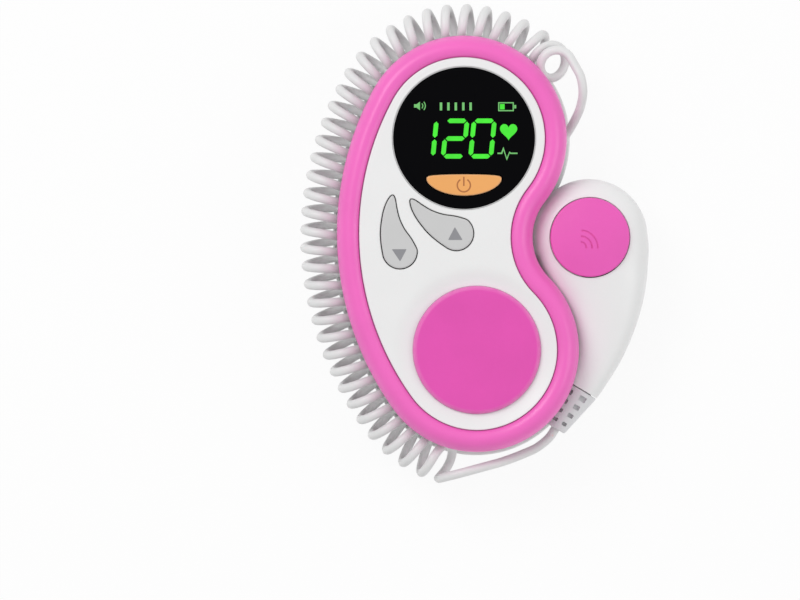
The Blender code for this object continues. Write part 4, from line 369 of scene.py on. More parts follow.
def cubic_row(values, slopes, rows, wanted):
    """Values between table rows: cubics that keep the values and the slopes at both ends."""
    index = np.clip(np.searchsorted(rows, wanted, side="right") - 1, 0, len(rows) - 2)
    width = rows[index + 1] - rows[index]
    share = (wanted - rows[index]) / width
    if values.ndim > 1:
        width, share = width[:, None], share[:, None]
    start = 2.0 * share ** 3 - 3.0 * share ** 2 + 1.0
    lead = (share ** 3 - 2.0 * share ** 2 + share) * width
    trail = (share ** 3 - share ** 2) * width
    return (values[index] * start + values[index + 1] * (1.0 - start)
            + slopes[index] * lead + slopes[index + 1] * trail)


def smooth_row(values, rows, wanted):
    """Values between table rows by Catmull-Rom cubics, whose slopes come from the neighbours."""
    return cubic_row(values, np.gradient(values, rows, axis=0), rows, wanted)


def smooth_step(share):
    """Eases from 0 to 1: three squares less two cubes."""
    share = np.clip(share, 0.0, 1.0)
    return share * share * (3.0 - 2.0 * share)


def powered(values, power):
    """Values raised to a power with their signs kept, as superellipses need them."""
    return np.sign(values) * np.abs(values) ** power


def loop_distance(places, loop):
    """How far each place is from a closed loop: the least distance to its segments."""
    span = (np.roll(loop, -1, axis=0) - loop)[None, :, :]
    away = places[:, None, :] - loop[None, :, :]
    share = np.clip((away * span).sum(2) / np.maximum((span * span).sum(2), TINY), 0.0, 1.0)
    return np.linalg.norm(away - share[:, :, None] * span, axis=2).min(axis=1)


def inside(places, loop):
    """Which places a loop holds: an odd count of sides crossed by a ray along +X."""
    span = np.roll(loop, -1, axis=0) - loop
    level = places[:, 1, None]
    astride = (loop[:, 1] > level) != (np.roll(loop[:, 1], -1) > level)
    rise = np.where(np.abs(span[:, 1]) < TINY, TINY, span[:, 1])
    crossing = loop[:, 0] + (level - loop[:, 1]) * (span[:, 0] / rise)
    return (astride & (places[:, 0, None] < crossing)).sum(axis=1) % 2 == 1


def on_plate(places, loops):
    """Which places are inside the first loop and outside the others."""
    held = inside(places, loops[0])
    for loop in loops[1:]:
        held &= ~inside(places, loop)
    return held


def new_piece(name, points, faces, body, finish, sharp=SHARP, weld=True, rim=None):
    """A piece from points and faces: doubles merged and normals outwards where it is welded."""
    mesh = bpy.data.meshes.new(name)
    mesh.from_pydata(points.reshape(-1, 3).tolist(), [], [list(face) for face in faces])
    piece = bpy.data.objects.new(name, mesh)
    bpy.context.scene.collection.objects.link(piece)
    if rim is not None:
        wear_and_highlight_mask = mesh.attributes.new("rim", "FLOAT", "POINT")
        wear_and_highlight_mask.data.foreach_set("value", rim.astype(np.float32))
    if weld:
        work = bmesh.new()
        work.from_mesh(mesh)
        bmesh.ops.remove_doubles(work, verts=work.verts, dist=MERGE)
        bmesh.ops.dissolve_degenerate(work, dist=MERGE / 10.0, edges=work.edges)
        bmesh.ops.recalc_face_normals(work, faces=work.faces)
        work.to_mesh(mesh)
        work.free()
    return dress(piece, body, finish, sharp)


def dress(piece, body, finish, sharp=SHARP):
    """Gives a piece its shading, its finish and its body.

    A shape that only cuts or joins has no finish and no body.
    """
    piece.data.materials.clear()
    piece.data.shade_smooth()
    piece.data.set_sharp_from_angle(angle=math.radians(sharp))
    if finish:
        piece.data.materials.append(finish_of(finish))
    if body:
        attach(piece, body)
    return piece


def grid_faces(rows, columns, around=True, along=False):
    """Quads of a grid of points, closed round its columns and along its rows where asked."""
    row, column = np.meshgrid(
        np.arange(rows if along else rows - 1), np.arange(columns if around else columns - 1),
        indexing="ij")
    here, above = row * columns, (row + 1) % rows * columns
    onward = (column + 1) % columns
    quads = np.stack((here + column, here + onward, above + onward, above + column), axis=-1)
    return quads.reshape(-1, 4)


def turned(name, profile, centre, body, finish, steps, sharp=SHARP, rim=None):
    """A surface of revolution: each profile point's radius turned about the centre."""
    profile = np.array(profile, float)
    grid = np.empty((len(profile), steps, 3))
    grid[:, :, :2] = centre + profile[:, :1, None] * direction(round_angles(steps))
    grid[:, :, 2] = profile[:, 1:]
    if rim is not None:
        rim = np.repeat(rim, steps)
    faces = grid_faces(len(profile), steps)
    return new_piece(name, grid, faces, body, finish, sharp, rim=rim)


def swept(name, outline, normals, section, finish, sharp=SHARP):
    """A section carried round an outline: out along the outline's normal, and up by height."""
    section = np.array(section, float)
    grid = np.empty((len(section), len(outline), 3))
    grid[:, :, :2] = outline + normals * section[:, None, :1]
    grid[:, :, 2] = section[:, 1:]
    faces = grid_faces(len(section), len(outline), along=True)
    return new_piece(name, grid, faces, "unit", finish, sharp)


def rim_profile(radius, level, rounding, steps, way=1.0):
    """A quarter round from a flat end out to the side: above it a top, and with way -1 a foot."""
    turn = direction(np.linspace(QUARTER, 0.0, steps))
    return (radius - rounding, level - way * rounding) + rounding * turn * (1.0, way)


def round_drop(distance, radius):
    """How far a rounded edge lies under its face: a circle's drop where nearer than its radius."""
    near = np.clip(radius - distance, 0.0, radius)
    return radius - np.sqrt(np.maximum(radius ** 2 - near ** 2, 0.0))


def sheet_arrays(loops, spacing, roundings, top, bottom, under=0.0, rim_steps=6):
    """Points, faces and rim shares of a plate: a flat outline with openings, triangulated.

    Rows of points follow each loop over its rounding, and a field of points fills the rest. The
    height is the top's value, or its function of x and y, less the round drop by the distance to
    each loop. The underside mirrors it with its own rounding, and walls join the two.
    """
    edges, rings, start = [], [np.zeros((0, 2))], 0
    for index, (loop, rounding) in enumerate(zip(loops, roundings)):
        run = np.arange(len(loop))
        edges.append(start + np.stack((run, (run + 1) % len(loop)), axis=1))
        start += len(loop)
        inward = loop_normals(loop) * (1.0 if index else -1.0)
        reach = max(rounding, under)
        if reach > 0.0:
            away = reach * (1.0 - np.cos(np.linspace(0.0, QUARTER, rim_steps)[1:]))
            rings += [loop + inward * distance for distance in (*away, reach * RING_SHARE)]
    low, high = loops[0].min(axis=0), loops[0].max(axis=0)
    field = np.stack(np.meshgrid(
        np.arange(low[0], high[0], spacing), np.arange(low[1], high[1], spacing * ROW_SHARE),
        indexing="ij"), axis=-1)
    field[:, 1::2, 0] += spacing / 2.0
    field = field.reshape(-1, 2)
    field = field[on_plate(field, loops)]
    for loop, rounding in zip(loops, roundings):
        clear = max(rounding, under) * RING_SHARE + spacing * FIELD_SHARE
        field = field[loop_distance(field, loop) > clear]
    rings = np.concatenate(rings)
    rings = rings[on_plate(rings, loops)]
    least = np.min([loop_distance(rings, loop) for loop in loops], axis=0)
    places = np.concatenate((*loops, rings[least > RING_CLEAR], field))
    made = delaunay_2d_cdt(
        [Vector(place) for place in (places / MM).tolist()], np.concatenate(edges).tolist(), [], 0,
        CDT_MERGE)
    flat = np.array([tuple(place) for place in made[0]]) * MM
    triangles = np.array(made[2])
    triangles = triangles[on_plate(flat[triangles].mean(axis=1), loops)]
    corner = flat[triangles]
    side, other = corner[:, 1] - corner[:, 0], corner[:, 2] - corner[:, 0]
    flipped = side[:, 0] * other[:, 1] < side[:, 1] * other[:, 0]
    triangles[flipped] = triangles[flipped][:, ::-1]
    drop, lift = np.zeros((2, len(flat)))
    for loop, rounding in zip(loops, roundings):
        distance = loop_distance(flat, loop)
        drop = np.maximum(drop, round_drop(distance, rounding))
        lift = np.maximum(lift, round_drop(distance, under))
    height = top(*flat.T) if callable(top) else top
    points = np.concatenate((
        np.column_stack((flat, height - drop)), np.column_stack((flat, bottom + lift))))
    pairs = np.concatenate([triangles[:, sides] for sides in ([0, 1], [1, 2], [2, 0])])
    _, first, count = np.unique(
        np.sort(pairs, axis=1), axis=0, return_index=True, return_counts=True)
    border = pairs[first[count == 1]]
    walls = np.column_stack((border[:, ::-1], border + len(flat)))
    faces = [*triangles.tolist(), *(triangles[:, ::-1] + len(flat)).tolist(), *walls.tolist()]
    return points, faces, np.tile(np.clip(drop / max(*roundings, TINY), 0.0, 1.0), 2)


def sheet(name, loops, spacing, roundings, top, bottom, body, finish, under=0.0, rim_steps=6):
    """A plate with rounded edges and openings as one piece."""
    points, faces, rim = sheet_arrays(loops, spacing, roundings, top, bottom, under, rim_steps)
    return new_piece(name, points, faces, body, finish, PLATE_SHARP, False, rim)


def marks(name, shapes, top, bottom, body, finish):
    """Thin flat marks as one piece: each shape is its outline's loop and then its holes'."""
    points, faces = [], []
    shift = 0
    for loops in shapes:
        made, sides, _ = sheet_arrays(loops, NO_FIELD, [0.0] * len(loops), top, bottom)
        points.append(made)
        faces += [[corner + shift for corner in side] for side in sides]
        shift += len(made)
    return new_piece(name, np.concatenate(points), faces, body, finish, MARK_SHARP, False)


def prisms(shapes, low, high):
    """Upright closed shapes over outlines, only to cut or join."""
    return marks("cutter", shapes, high, low, None, None)


def rods(places, radius, count, low, high):
    """Upright round shapes at places, only to cut or join."""
    return prisms([[circle(place, radius, count)] for place in places], low, high)


def combined(piece, operation, *others):
    """Cuts, joins or keeps what is shared with closed shapes, by Booleans made its mesh."""
    for other in others:
        step = piece.modifiers.new(other.name, "BOOLEAN")
        step.operation = operation
        step.solver = "EXACT"
        step.object = other
    bpy.context.view_layer.update()
    evaluated = piece.evaluated_get(bpy.context.evaluated_depsgraph_get())
    mesh = bpy.data.meshes.new_from_object(evaluated)
    piece.modifiers.clear()
    piece.data = mesh
    for other in others:
        bpy.data.objects.remove(other, do_unlink=True)


def tube(name, path, reference, body):
    """The cord: at each path point a circle lies across the tangent, turned from the reference."""
    tangent = unit(np.gradient(path, axis=0))
    first = unit(reference - (reference * tangent).sum(axis=1, keepdims=True) * tangent)
    around = direction(round_angles(CORD_SIDES))
    ring = around[:, :1] * first[:, None] + around[:, 1:] * np.cross(tangent, first)[:, None]
    first_end, last_end = (
        np.repeat(end[:, None], CORD_SIDES, axis=1) for end in (path[:1], path[-1:]))
    grid = np.concatenate((first_end, path[:, None] + CORD_RADIUS * ring, last_end))
    faces = grid_faces(len(grid), CORD_SIDES)
    return new_piece(name, grid, faces, body, "cord_vinyl", ROUND_SHARP)


def linear(channel):
    """One display channel from 0 to 255 as linear light."""
    share = channel / 255.0
    return share / 12.92 if share <= 0.04045 else ((share + 0.055) / 1.055) ** 2.4


def shade(red, green, blue):
    """A display colour as linear red, green and blue."""
    return linear(red), linear(green), linear(blue)


# Each finish: its slot, its colour or the name of the user's, its roughness and what else differs.
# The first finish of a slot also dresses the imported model's own pieces. No finish has the name of
# a slot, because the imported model's plain materials have those.
FINISHES = {
    "back_white": ("white_plastic", "shell", 0.46, dict(fine=900.0, tone=0.97, depth=0.03)),
    "shell_white": ("white_plastic", "shell", 0.36, dict(tone=0.975, subsurface=0.05)),
    "relief_white": ("white_plastic", shade(226, 226, 228), 0.48, dict(
        fine=1000.0, tone=0.95, depth=0.02)),
    "ring_pink": ("pink_plastic", "ring", 0.40, dict(tone=0.95, coat=0.10, subsurface=0.05)),
    # The pad's strong rim lightening is mostly a painted highlight on its rounded edge, with some
    # wear
    "pad_pink": ("deep_pink_plastic", "pad", 0.50, dict(
        fine=1100.0, depth=0.03, wear=1.0, subsurface=0.05)),
    "cap_pink": ("deep_pink_plastic", shade(234, 90, 185), 0.46, dict(
        fine=1100.0, depth=0.03, wear=0.6, subsurface=0.05)),
    "glass_black": ("black_glass", (0.0022, 0.0022, 0.0028), 0.07, dict(
        depth=0.001, wear=0.03, specular=0.02)),
    "lit_green": ("black_glass", "lit", 0.2, dict(
        fine=2400.0, broad=300.0, tone=0.8, wear=0.0, glow=1.0)),
    "lit_pale": ("black_glass", shade(112, 196, 108), 0.2, dict(
        fine=2400.0, broad=300.0, tone=0.85, wear=0.0, glow=0.9)),
    # The power button's strong rim lightening is partly a painted highlight on its rounded edge,
    # partly wear
    "power_orange": ("orange_plastic", "power", 0.34, dict(tone=0.95, wear=1.6)),
    "print_brown": ("orange_plastic", shade(176, 108, 56), 0.55, dict(tone=0.9, wear=0.0)),
    "volume_grey": ("grey_plastic", "volume", 0.40, dict(tone=0.96, wear=0.35)),
    "print_grey": ("grey_plastic", shade(140, 140, 144), 0.55, dict(tone=0.9, wear=0.0)),
    "cord_vinyl": ("cord_white", "cord", 0.42, dict(
        fine=1300.0, broad=90.0, tone=0.95, wear=0.0, depth=0.02, subsurface=0.05)),
    "lens_rubber": ("lens_grey", shade(178, 184, 188), 0.30, dict(tone=0.96, coat=0.2)),
    "board_coating": ("board_green", shade(30, 92, 54), 0.42, dict(
        tone=0.9, depth=0.03, wear=0.0, pattern=(
            "ShaderNodeTexVoronoi", {"feature": "DISTANCE_TO_EDGE", "distance": "MANHATTAN"},
            {"Scale": 520.0}, shade(96, 150, 90), 0.10, 0.04))),
    "dark_moulded": ("dark_plastic", shade(38, 38, 42), 0.46, dict(
        fine=1000.0, tone=0.8, depth=0.03)),
    "bright_steel": ("steel", shade(196, 198, 202), 0.24, dict(
        metallic=1.0, wear=0.0, tone=0.9, depth=0.01, pattern=(
            "ShaderNodeTexWave", {"wave_type": "RINGS"}, {"Scale": 700.0, "Distortion": 3.0},
            shade(168, 170, 176), 0.2, 0.9))),
    "cone_paper": ("speaker_paper", shade(62, 58, 54), 0.88, dict(
        tone=0.7, depth=0.05, wear=0.0, pattern=(
            "ShaderNodeTexNoise", {}, {"Scale": 1400.0, "Detail": 6.0}, shade(96, 90, 82),
            0.5, 0.75))),
    "cell_wrap": ("cell_jacket", shade(62, 84, 122), 0.30, dict(
        metallic=0.4, tone=0.9, wear=0.0, pattern=(
            "ShaderNodeTexWave", {"bands_direction": "Y"}, {"Scale": 28.0},
            shade(196, 200, 206), 0.86, 0.9))),
    "crystal_cream": ("crystal_ceramic", shade(206, 196, 170), 0.55, dict(
        fine=2200.0, tone=0.85, depth=0.02)),
}


def fill(tree, node, inputs):
    """Sets each input of a node to its value, or links it from its socket."""
    for label, value in inputs.items():
        if isinstance(value, bpy.types.NodeSocket):
            tree.links.new(value, node.inputs[label])
        else:
            node.inputs[label].default_value = value
    return node


def add(tree, kind, inputs, **settings):
    """A new node with its settings and its inputs."""
    node = tree.nodes.new(kind)
    for label, value in settings.items():
        setattr(node, label, value)
    return fill(tree, node, inputs)


def worked_out(tree, operation, first, second):
    """The outcome of a maths node from two values or sockets."""
    return add(tree, "ShaderNodeMath", {0: first, 1: second}, operation=operation).outputs[0]


def mixed(tree, first, second, factor):
    """A colour mix: each of first and second is a colour or a socket."""
    first, second = (
        end if isinstance(end, bpy.types.NodeSocket) else (*end, 1.0) for end in (first, second))
    inputs = {MIX_FACTOR: factor, MIX_FIRST: first, MIX_SECOND: second}
    return add(tree, "ShaderNodeMix", inputs, data_type="RGBA").outputs[MIX_RESULT]


def group_with(name, values, outputs):
    """An empty node group with a vector input, value inputs and value outputs."""
    made = bpy.data.node_groups.new(name, "ShaderNodeTree")
    made.interface.new_socket("Vector", in_out="INPUT", socket_type="NodeSocketVector")
    for label, value in values.items():
        socket = made.interface.new_socket(label, in_out="INPUT", socket_type="NodeSocketFloat")
        socket.default_value = value
    for label in outputs:
        made.interface.new_socket(label, in_out="OUTPUT", socket_type="NodeSocketFloat")
    source = made.nodes.new("NodeGroupInput")
    return made, source.outputs, made.nodes.new("NodeGroupOutput")


def grain_group():
    """Moulded grain: fine noise gives the height, broad noise gives slow changes of tone."""
    made, source, target = group_with(
        "moulded_grain", {"Fine Scale": 1600.0, "Broad Scale": 60.0}, ("Height", "Tone"))
    for scale, detail, output in (("Fine Scale", 3.0, "Height"), ("Broad Scale", 4.0, "Tone")):
        noise = add(made, "ShaderNodeTexNoise", {
            "Vector": source["Vector"], "Scale": source[scale], "Detail": detail})
        spread = add(made, "ShaderNodeMapRange", {
            "Value": noise.outputs["Fac"], "From Min": GRAIN_LOW, "From Max": GRAIN_HIGH})
        fill(made, target, {output: spread.outputs["Result"]})
    return made


def wear_and_highlight_group():
    """Edge wear and a painted highlight: the piece's own rim attribute, broken up by noise."""
    made, source, target = group_with("rim_wear", {"Amount": 0.5}, ("Mask",))
    rim = add(made, "ShaderNodeAttribute", {}, attribute_name="rim")
    noise = add(made, "ShaderNodeTexNoise", {
        "Vector": source["Vector"], "Scale": RIM_NOISE_SCALE, "Detail": RIM_NOISE_DETAIL})
    broken = worked_out(made, "MULTIPLY", rim.outputs["Fac"], noise.outputs["Fac"])
    fill(made, target, {"Mask": worked_out(made, "MULTIPLY", broken, source["Amount"])})
    return made


def place_group(tree, name, make, inputs):
    """Puts a node group in a material with its own values; the group is made only once."""
    return add(tree, "ShaderNodeGroup", inputs, node_tree=bpy.data.node_groups.get(name) or make())


def finish_material(
        name, colour, roughness, fine=1600.0, broad=60.0, tone=0.94, depth=0.012, wear=0.25,
        metallic=0.0, coat=0.0, specular=0.5, pattern=None, glow=0.0, subsurface=0.0):
    """A moulded or milled finish.

    Tone drift and rims lightened for wear and as a painted highlight change the colour, drift the
    roughness and grain the bump. A pattern is (texture node type, settings, input values, second
    colour, low, high): its mask lays the second colour over the first.
    """
    made = bpy.data.materials.new(name)
    made.use_nodes = True
    made.diffuse_color = (*colour, 1.0)
    tree = made.node_tree
    place = tree.nodes.new("ShaderNodeTexCoord").outputs["Object"]
    grain = place_group(tree, "moulded_grain", grain_group, {
        "Vector": place, "Fine Scale": fine, "Broad Scale": broad}).outputs
    base = mixed(tree, colour, [channel * tone for channel in colour], grain["Tone"])
    height = grain["Height"]
    if pattern:
        kind, settings, values, other, low, high = pattern
        texture = add(tree, kind, {"Vector": place, **values}, **settings).outputs
        output = texture["Distance" if "Distance" in texture else "Fac"]
        height = add(tree, "ShaderNodeMapRange", {
            "Value": output, "From Min": low, "From Max": high}).outputs["Result"]
        base = mixed(tree, base, other, height)
    if wear:
        wear_and_highlight_mask = place_group(tree, "rim_wear", wear_and_highlight_group, {"Vector": place, "Amount": wear})
        # Lightened rims: partly wear, partly a painted highlight on rounded edges
        light = [min(1.0, channel * WORN_AND_HIGHLIT_SHARE + WORN_AND_HIGHLIT_LIFT) for channel in colour]
        base = mixed(tree, base, light, wear_and_highlight_mask.outputs["Mask"])
    drift = add(tree, "ShaderNodeMapRange", {
        "Value": grain["Tone"], "To Min": max(roughness - SMOOTHER, LEAST_ROUGHNESS),
        "To Max": roughness + ROUGHER})
    bump = add(tree, "ShaderNodeBump", {
        "Height": height, "Strength": BUMP_STRENGTH, "Distance": depth * MM})
    inputs = {
        "Base Color": base, "Roughness": drift.outputs["Result"], "Metallic": metallic,
        "Normal": bump.outputs["Normal"], "Specular IOR Level": specular, "Coat Weight": coat,
        "Coat Roughness": COAT_ROUGHNESS}
    if glow:
        dim = (*[channel * DIM_SHARE for channel in colour], 1.0)
        inputs.update({"Base Color": dim, "Emission Color": base, "Emission Strength": glow})
    if subsurface:
        inputs.update({"Subsurface Weight": subsurface, "Subsurface Scale": SUBSURFACE_SCALE,
                       "Subsurface Radius": SUBSURFACE_RADIUS})
    fill(tree, tree.nodes["Principled BSDF"], inputs)
    return made


def finish_of(name):
    """A finish of the monitor, made once, with the colours that the user set."""
    if name not in bpy.data.materials:
        _, colour, roughness, rest = FINISHES[name]
        if isinstance(colour, str):
            colour = tuple(getattr(bpy.context.scene.monitor_colours, colour))
        finish_material(name, colour, roughness, **rest)
    return bpy.data.materials[name]


def curl_arcs():
    """Centres, radii, first angles and lengths of the three arcs under the curls' middle line."""
    arcs = body_arcs(-CURL_AXIS_REACH, WAIST_RADIUS - CURL_AXIS_REACH)[:3]
    centres, radii, starts, ends = (np.array(column) for column in zip(*arcs))
    starts[0], ends[-1] = CURL_START_ANGLE, CURL_END_ANGLE
    return centres, radii, starts, (ends - starts) * radii


def groove_places(distance):
    """Places and angles along the arcs at a distance: each place is on its arc's circle."""
    centres, radii, starts, lengths = curl_arcs()
    passed = np.append(0.0, np.cumsum(lengths[:2]))
    index = np.searchsorted(passed[1:], distance)
    angles = starts[index] + (distance - passed[index]) / radii[index]
    return centres[index] + direction(angles) * radii[index, None], angles


def curl_route():
    """Points of the curly cord and the direction of its middle line at each.

    The middle line drops from over the groove and turns along it. The cord circles it, with the
    phase growing as the travel does. Over the last turns the middle line moves out and onward
    and the curl swings round.
    """
    turn_in = TURN_IN_RADIUS * QUARTER
    total = curl_arcs()[3].sum() - TURN_IN_RADIUS + turn_in
    travel = np.linspace(0.0, total, CURL_SAMPLES)
    opened = 1.0 + (FIRST_CURL_STRETCH - 1.0) * (1.0 - smooth_step(travel / SETTLE_LENGTH))
    turns = np.append(0.0, np.cumsum(np.diff(travel) / opened[1:]))
    span = math.tau * CURL_COUNT + CURL_PHASE_END - CURL_PHASE_START
    phases = CURL_PHASE_START + span * turns / turns[-1]
    phase = np.linspace(phases[0], phases[-1], round(span / math.tau * CURL_POINTS) + 1)
    travel = np.interp(phase, phases, travel)
    lean = np.minimum(travel / TURN_IN_RADIUS, QUARTER)
    places, angles = groove_places(
        TURN_IN_RADIUS * (1.0 - np.cos(lean)) + np.maximum(travel - turn_in, 0.0))
    level = CURL_LEVEL + TURN_IN_RADIUS * (1.0 - np.sin(lean))
    outward = np.column_stack((direction(angles), np.zeros_like(angles)))
    onward = np.column_stack((quarter_turn(outward), np.zeros_like(angles)))
    settled = smooth_step(travel / SETTLE_LENGTH)[:, None]
    released = smooth_step((phase - phase[-1] + RELEASE_TURN) / RELEASE_TURN)[:, None]
    drift = CURL_DRIFT * np.minimum(travel / DRIFT_LENGTH, 1.0)[:, None]
    phase, lean = phase[:, None], lean[:, None]
    upward = np.cos(lean) * onward + np.sin(lean) * SKYWARD
    reach = FIRST_CURL_REACH * (1.0 - settled) + drift + RELEASE_REACH * released
    middle = np.column_stack((places, level)) + outward * reach
    middle += onward * (RELEASE_ONWARD * released)
    radius = FIRST_CURL_RADIUS + (CURL_RADIUS - FIRST_CURL_RADIUS) * settled
    radius += RELEASE_SWELL * released
    swing = RELEASE_SWING * released
    spoke = np.cos(swing) * outward + np.sin(swing) * onward
    route = middle + radius * (np.cos(phase) * spoke + np.sin(phase) * upward)
    return route, np.sin(lean) * onward - np.cos(lean) * SKYWARD


def lead_route(points, count):
    """A smooth route through points by cubics, headed along its straight first and last steps."""
    points = np.array(points, float)
    route = points[1:-1]
    knots = travelled(route)
    slopes = np.gradient(route, knots, axis=0)
    slopes[0], slopes[-1] = unit(route[0] - points[0]), unit(points[-1] - route[-1])
    smooth = cubic_row(route, slopes, knots, np.linspace(0.0, knots[-1], count))
    return np.concatenate((points[:1], smooth, points[-1:]))


def lobe_points(centre, radius, rows):
    """Points in space from rows of reach outside a lobe, angle round it and height."""
    places = centre + (radius + rows[:, :1]) * direction(rows[:, 1])
    return np.column_stack((places, rows[:, 2]))


def gland_frame():
    """The gland's middle, and the direction along the groove in which the cord leaves it."""
    spoke = direction(GLAND_ANGLE)
    middle = UPPER_CENTRE + spoke * (UPPER_RADIUS - GROOVE_DEPTH + SEAT_GAP + GLAND_RADIUS)
    return np.array((*middle, GROOVE_MIDDLE)), np.array((*quarter_turn(spoke), 0.0))


def power_outline():
    """The half-moon: x runs as a cosine, the top and bottom edges as powers of the sine."""
    angles = round_angles(400)
    sine = np.abs(np.sin(angles))
    height = np.where(
        angles < math.pi, POWER_RISE * sine ** POWER_TOP_BEND,
        -POWER_DROP * sine ** POWER_BOTTOM_BEND)
    loop = np.column_stack((POWER_WIDTH / 2.0 * np.cos(angles), height))
    return softened(POWER_CENTRE + loop, POWER_STEP)


def teardrop_outline(tip, angle):
    """A bowed teardrop: half widths either side of a bowed middle line, with a round end."""
    along = direction(angle)
    side = -quarter_turn(along)
    share = np.linspace(0.0, TEARDROP_SHARES[-1, 0], 60)
    shares = smooth_row(TEARDROP_SHARES[:, 1:], TEARDROP_SHARES[:, 0], share)
    bow, width = shares[:, :1], shares[:, 1:]
    middle = tip + VOLUME_LENGTH * (share[:, None] * along + bow * side)
    spread = VOLUME_LENGTH * width * side
    turn = np.linspace(0.0, math.pi, 40)[1:-1, None]
    end = tip + along * VOLUME_LENGTH * (1.0 - TEARDROP_END_SHARE)
    rounded = VOLUME_LENGTH * TEARDROP_END_SHARE * (np.cos(turn) * side + np.sin(turn) * along)
    loop = np.concatenate((middle + spread, end + rounded, (middle - spread)[::-1]))
    return softened(loop, VOLUME_STEP)


def button_outlines():
    """The outline of each button by its name."""
    return {"power_button": power_outline()} | {
        name: teardrop_outline(*place) for name, place in VOLUME_PLACES.items()}


def from_view(pairs):
    """Places on the face from places in the photograph's frame."""
    return (np.array(pairs, float) - VIEW_ORIGIN) * (VIEW_STEP, -VIEW_STEP) * MM


def view_box(left, top, right, bottom):
    """A rectangle in the photograph's frame, as a loop on the face."""
    return from_view(((left, top), (right, top), (right, bottom), (left, bottom)))


def arc_band(centre, radius, width, start, end, count=40):
    """A band along an arc: its outer edge one way and its inner edge back."""
    spokes = direction(np.linspace(start, end, count))
    return np.concatenate((
        centre + spokes * (radius + width / 2.0), (centre + spokes * (radius - width / 2.0))[::-1]))


def digit(left, bars):
    """A seven-bar digit: the named bars between its cell's corners, leaned over.

    Each bar is a long hexagon, with its pointed ends at two places a gap from the corners.
    """
    half = DIGIT_BAR / 2.0
    low_x, high_x = left + half, left + DIGIT_WIDTH - half
    low_y, high_y = DIGIT_TOP + half, DIGIT_BOTTOM - half
    middle = (low_y + high_y) / 2.0
    ends = {
        "a": ((low_x, low_y), (high_x, low_y)), "b": ((high_x, low_y), (high_x, middle)),
        "c": ((high_x, middle), (high_x, high_y)), "d": ((low_x, high_y), (high_x, high_y)),
        "e": ((low_x, middle), (low_x, high_y)), "f": ((low_x, low_y), (low_x, middle)),
        "g": ((low_x, middle), (high_x, middle)),
    }
    made = []
    for name in bars:
        start, end = np.array(ends[name])
        along = unit(end - start)
        start, end = start + along * DIGIT_GAP, end - along * DIGIT_GAP
        side, lead = -quarter_turn(along) * half, along * half
        loop = np.array((
            start, start + lead + side, end - lead + side, end, end - lead - side,
            start + lead - side))
        loop[:, 0] += ((DIGIT_TOP + DIGIT_BOTTOM) / 2.0 - loop[:, 1]) * DIGIT_LEAN
        made.append([from_view(loop)])
    return made


COLOUR = dict(subtype="COLOR", size=3, min=0.0, max=1.0)
LENGTH = dict(unit="LENGTH", subtype="DISTANCE")


class MonitorColours(bpy.types.PropertyGroup):
    """Colours of the monitor."""

    shell: bpy.props.FloatVectorProperty(
        name="Shell", description="White shells and face", default=shade(236, 236, 236), **COLOUR)
    ring: bpy.props.FloatVectorProperty(
        name="Ring", description="Bezel ring round the face", default=shade(243, 104, 194),
        **COLOUR)
    pad: bpy.props.FloatVectorProperty(
        name="Pads", description="Speaker pad", default=shade(228, 76, 178), **COLOUR)
    power: bpy.props.FloatVectorProperty(
        name="Power button", description="Half-moon button in the window",
        default=shade(240, 170, 96), **COLOUR)
    volume: bpy.props.FloatVectorProperty(
        name="Volume buttons", description="The two teardrop buttons",
        default=shade(202, 202, 202), **COLOUR)
    cord: bpy.props.FloatVectorProperty(
        name="Cord", description="Curly cord and its leads", default=shade(227, 227, 227),
        **COLOUR)
    lit: bpy.props.FloatVectorProperty(
        name="Display", description="Lit digits and signs", default=shade(58, 232, 34), **COLOUR)


class MonitorSizes(bpy.types.PropertyGroup):
    """Sizes of the monitor's finish."""

    face_dish: bpy.props.FloatProperty(
        name="Face dish", description="Depth of the shallow dish round the speaker pad",
        min=0.0, max=1.8 * MM, default=1.3 * MM, **LENGTH)
    dish_reach: bpy.props.FloatProperty(
        name="Dish reach", description="How far the dish runs out from the pad",
        min=1.0 * MM, default=6.5 * MM, **LENGTH)
    pad_rounding: bpy.props.FloatProperty(
        name="Pad rounding", description="Rounding of the speaker pad's edge",
        min=0.2 * MM, max=1.8 * MM, default=1.5 * MM, **LENGTH)
    button_rounding: bpy.props.FloatProperty(
        name="Button rounding", description="Rounding of the buttons' edges",
        min=0.1 * MM, max=0.7 * MM, default=0.55 * MM, **LENGTH)
    print_height: bpy.props.FloatProperty(
        name="Print height", description="How far printed and lit signs stand proud",
        min=0.01 * MM, max=0.1 * MM, default=0.03 * MM, **LENGTH)


def whitened(tree, plain, bright, share, target):
    """Shows a share of the bright shader where the camera sees it, and the plain one elsewhere.

    Rays that a gloss or a clear pane sends on count as the camera's own.
    """
    path = tree.nodes.new("ShaderNodeLightPath")
    seen = path.outputs["Is Camera Ray"]
    for way in ("Is Glossy Ray", "Is Transmission Ray"):
        seen = worked_out(tree, "MAXIMUM", seen, path.outputs[way])
    held = worked_out(tree, "MULTIPLY", seen, share)
    mix = add(tree, "ShaderNodeMixShader", {0: held, 1: plain, 2: bright})
    fill(tree, tree.nodes[target], {"Surface": mix.outputs["Shader"]})


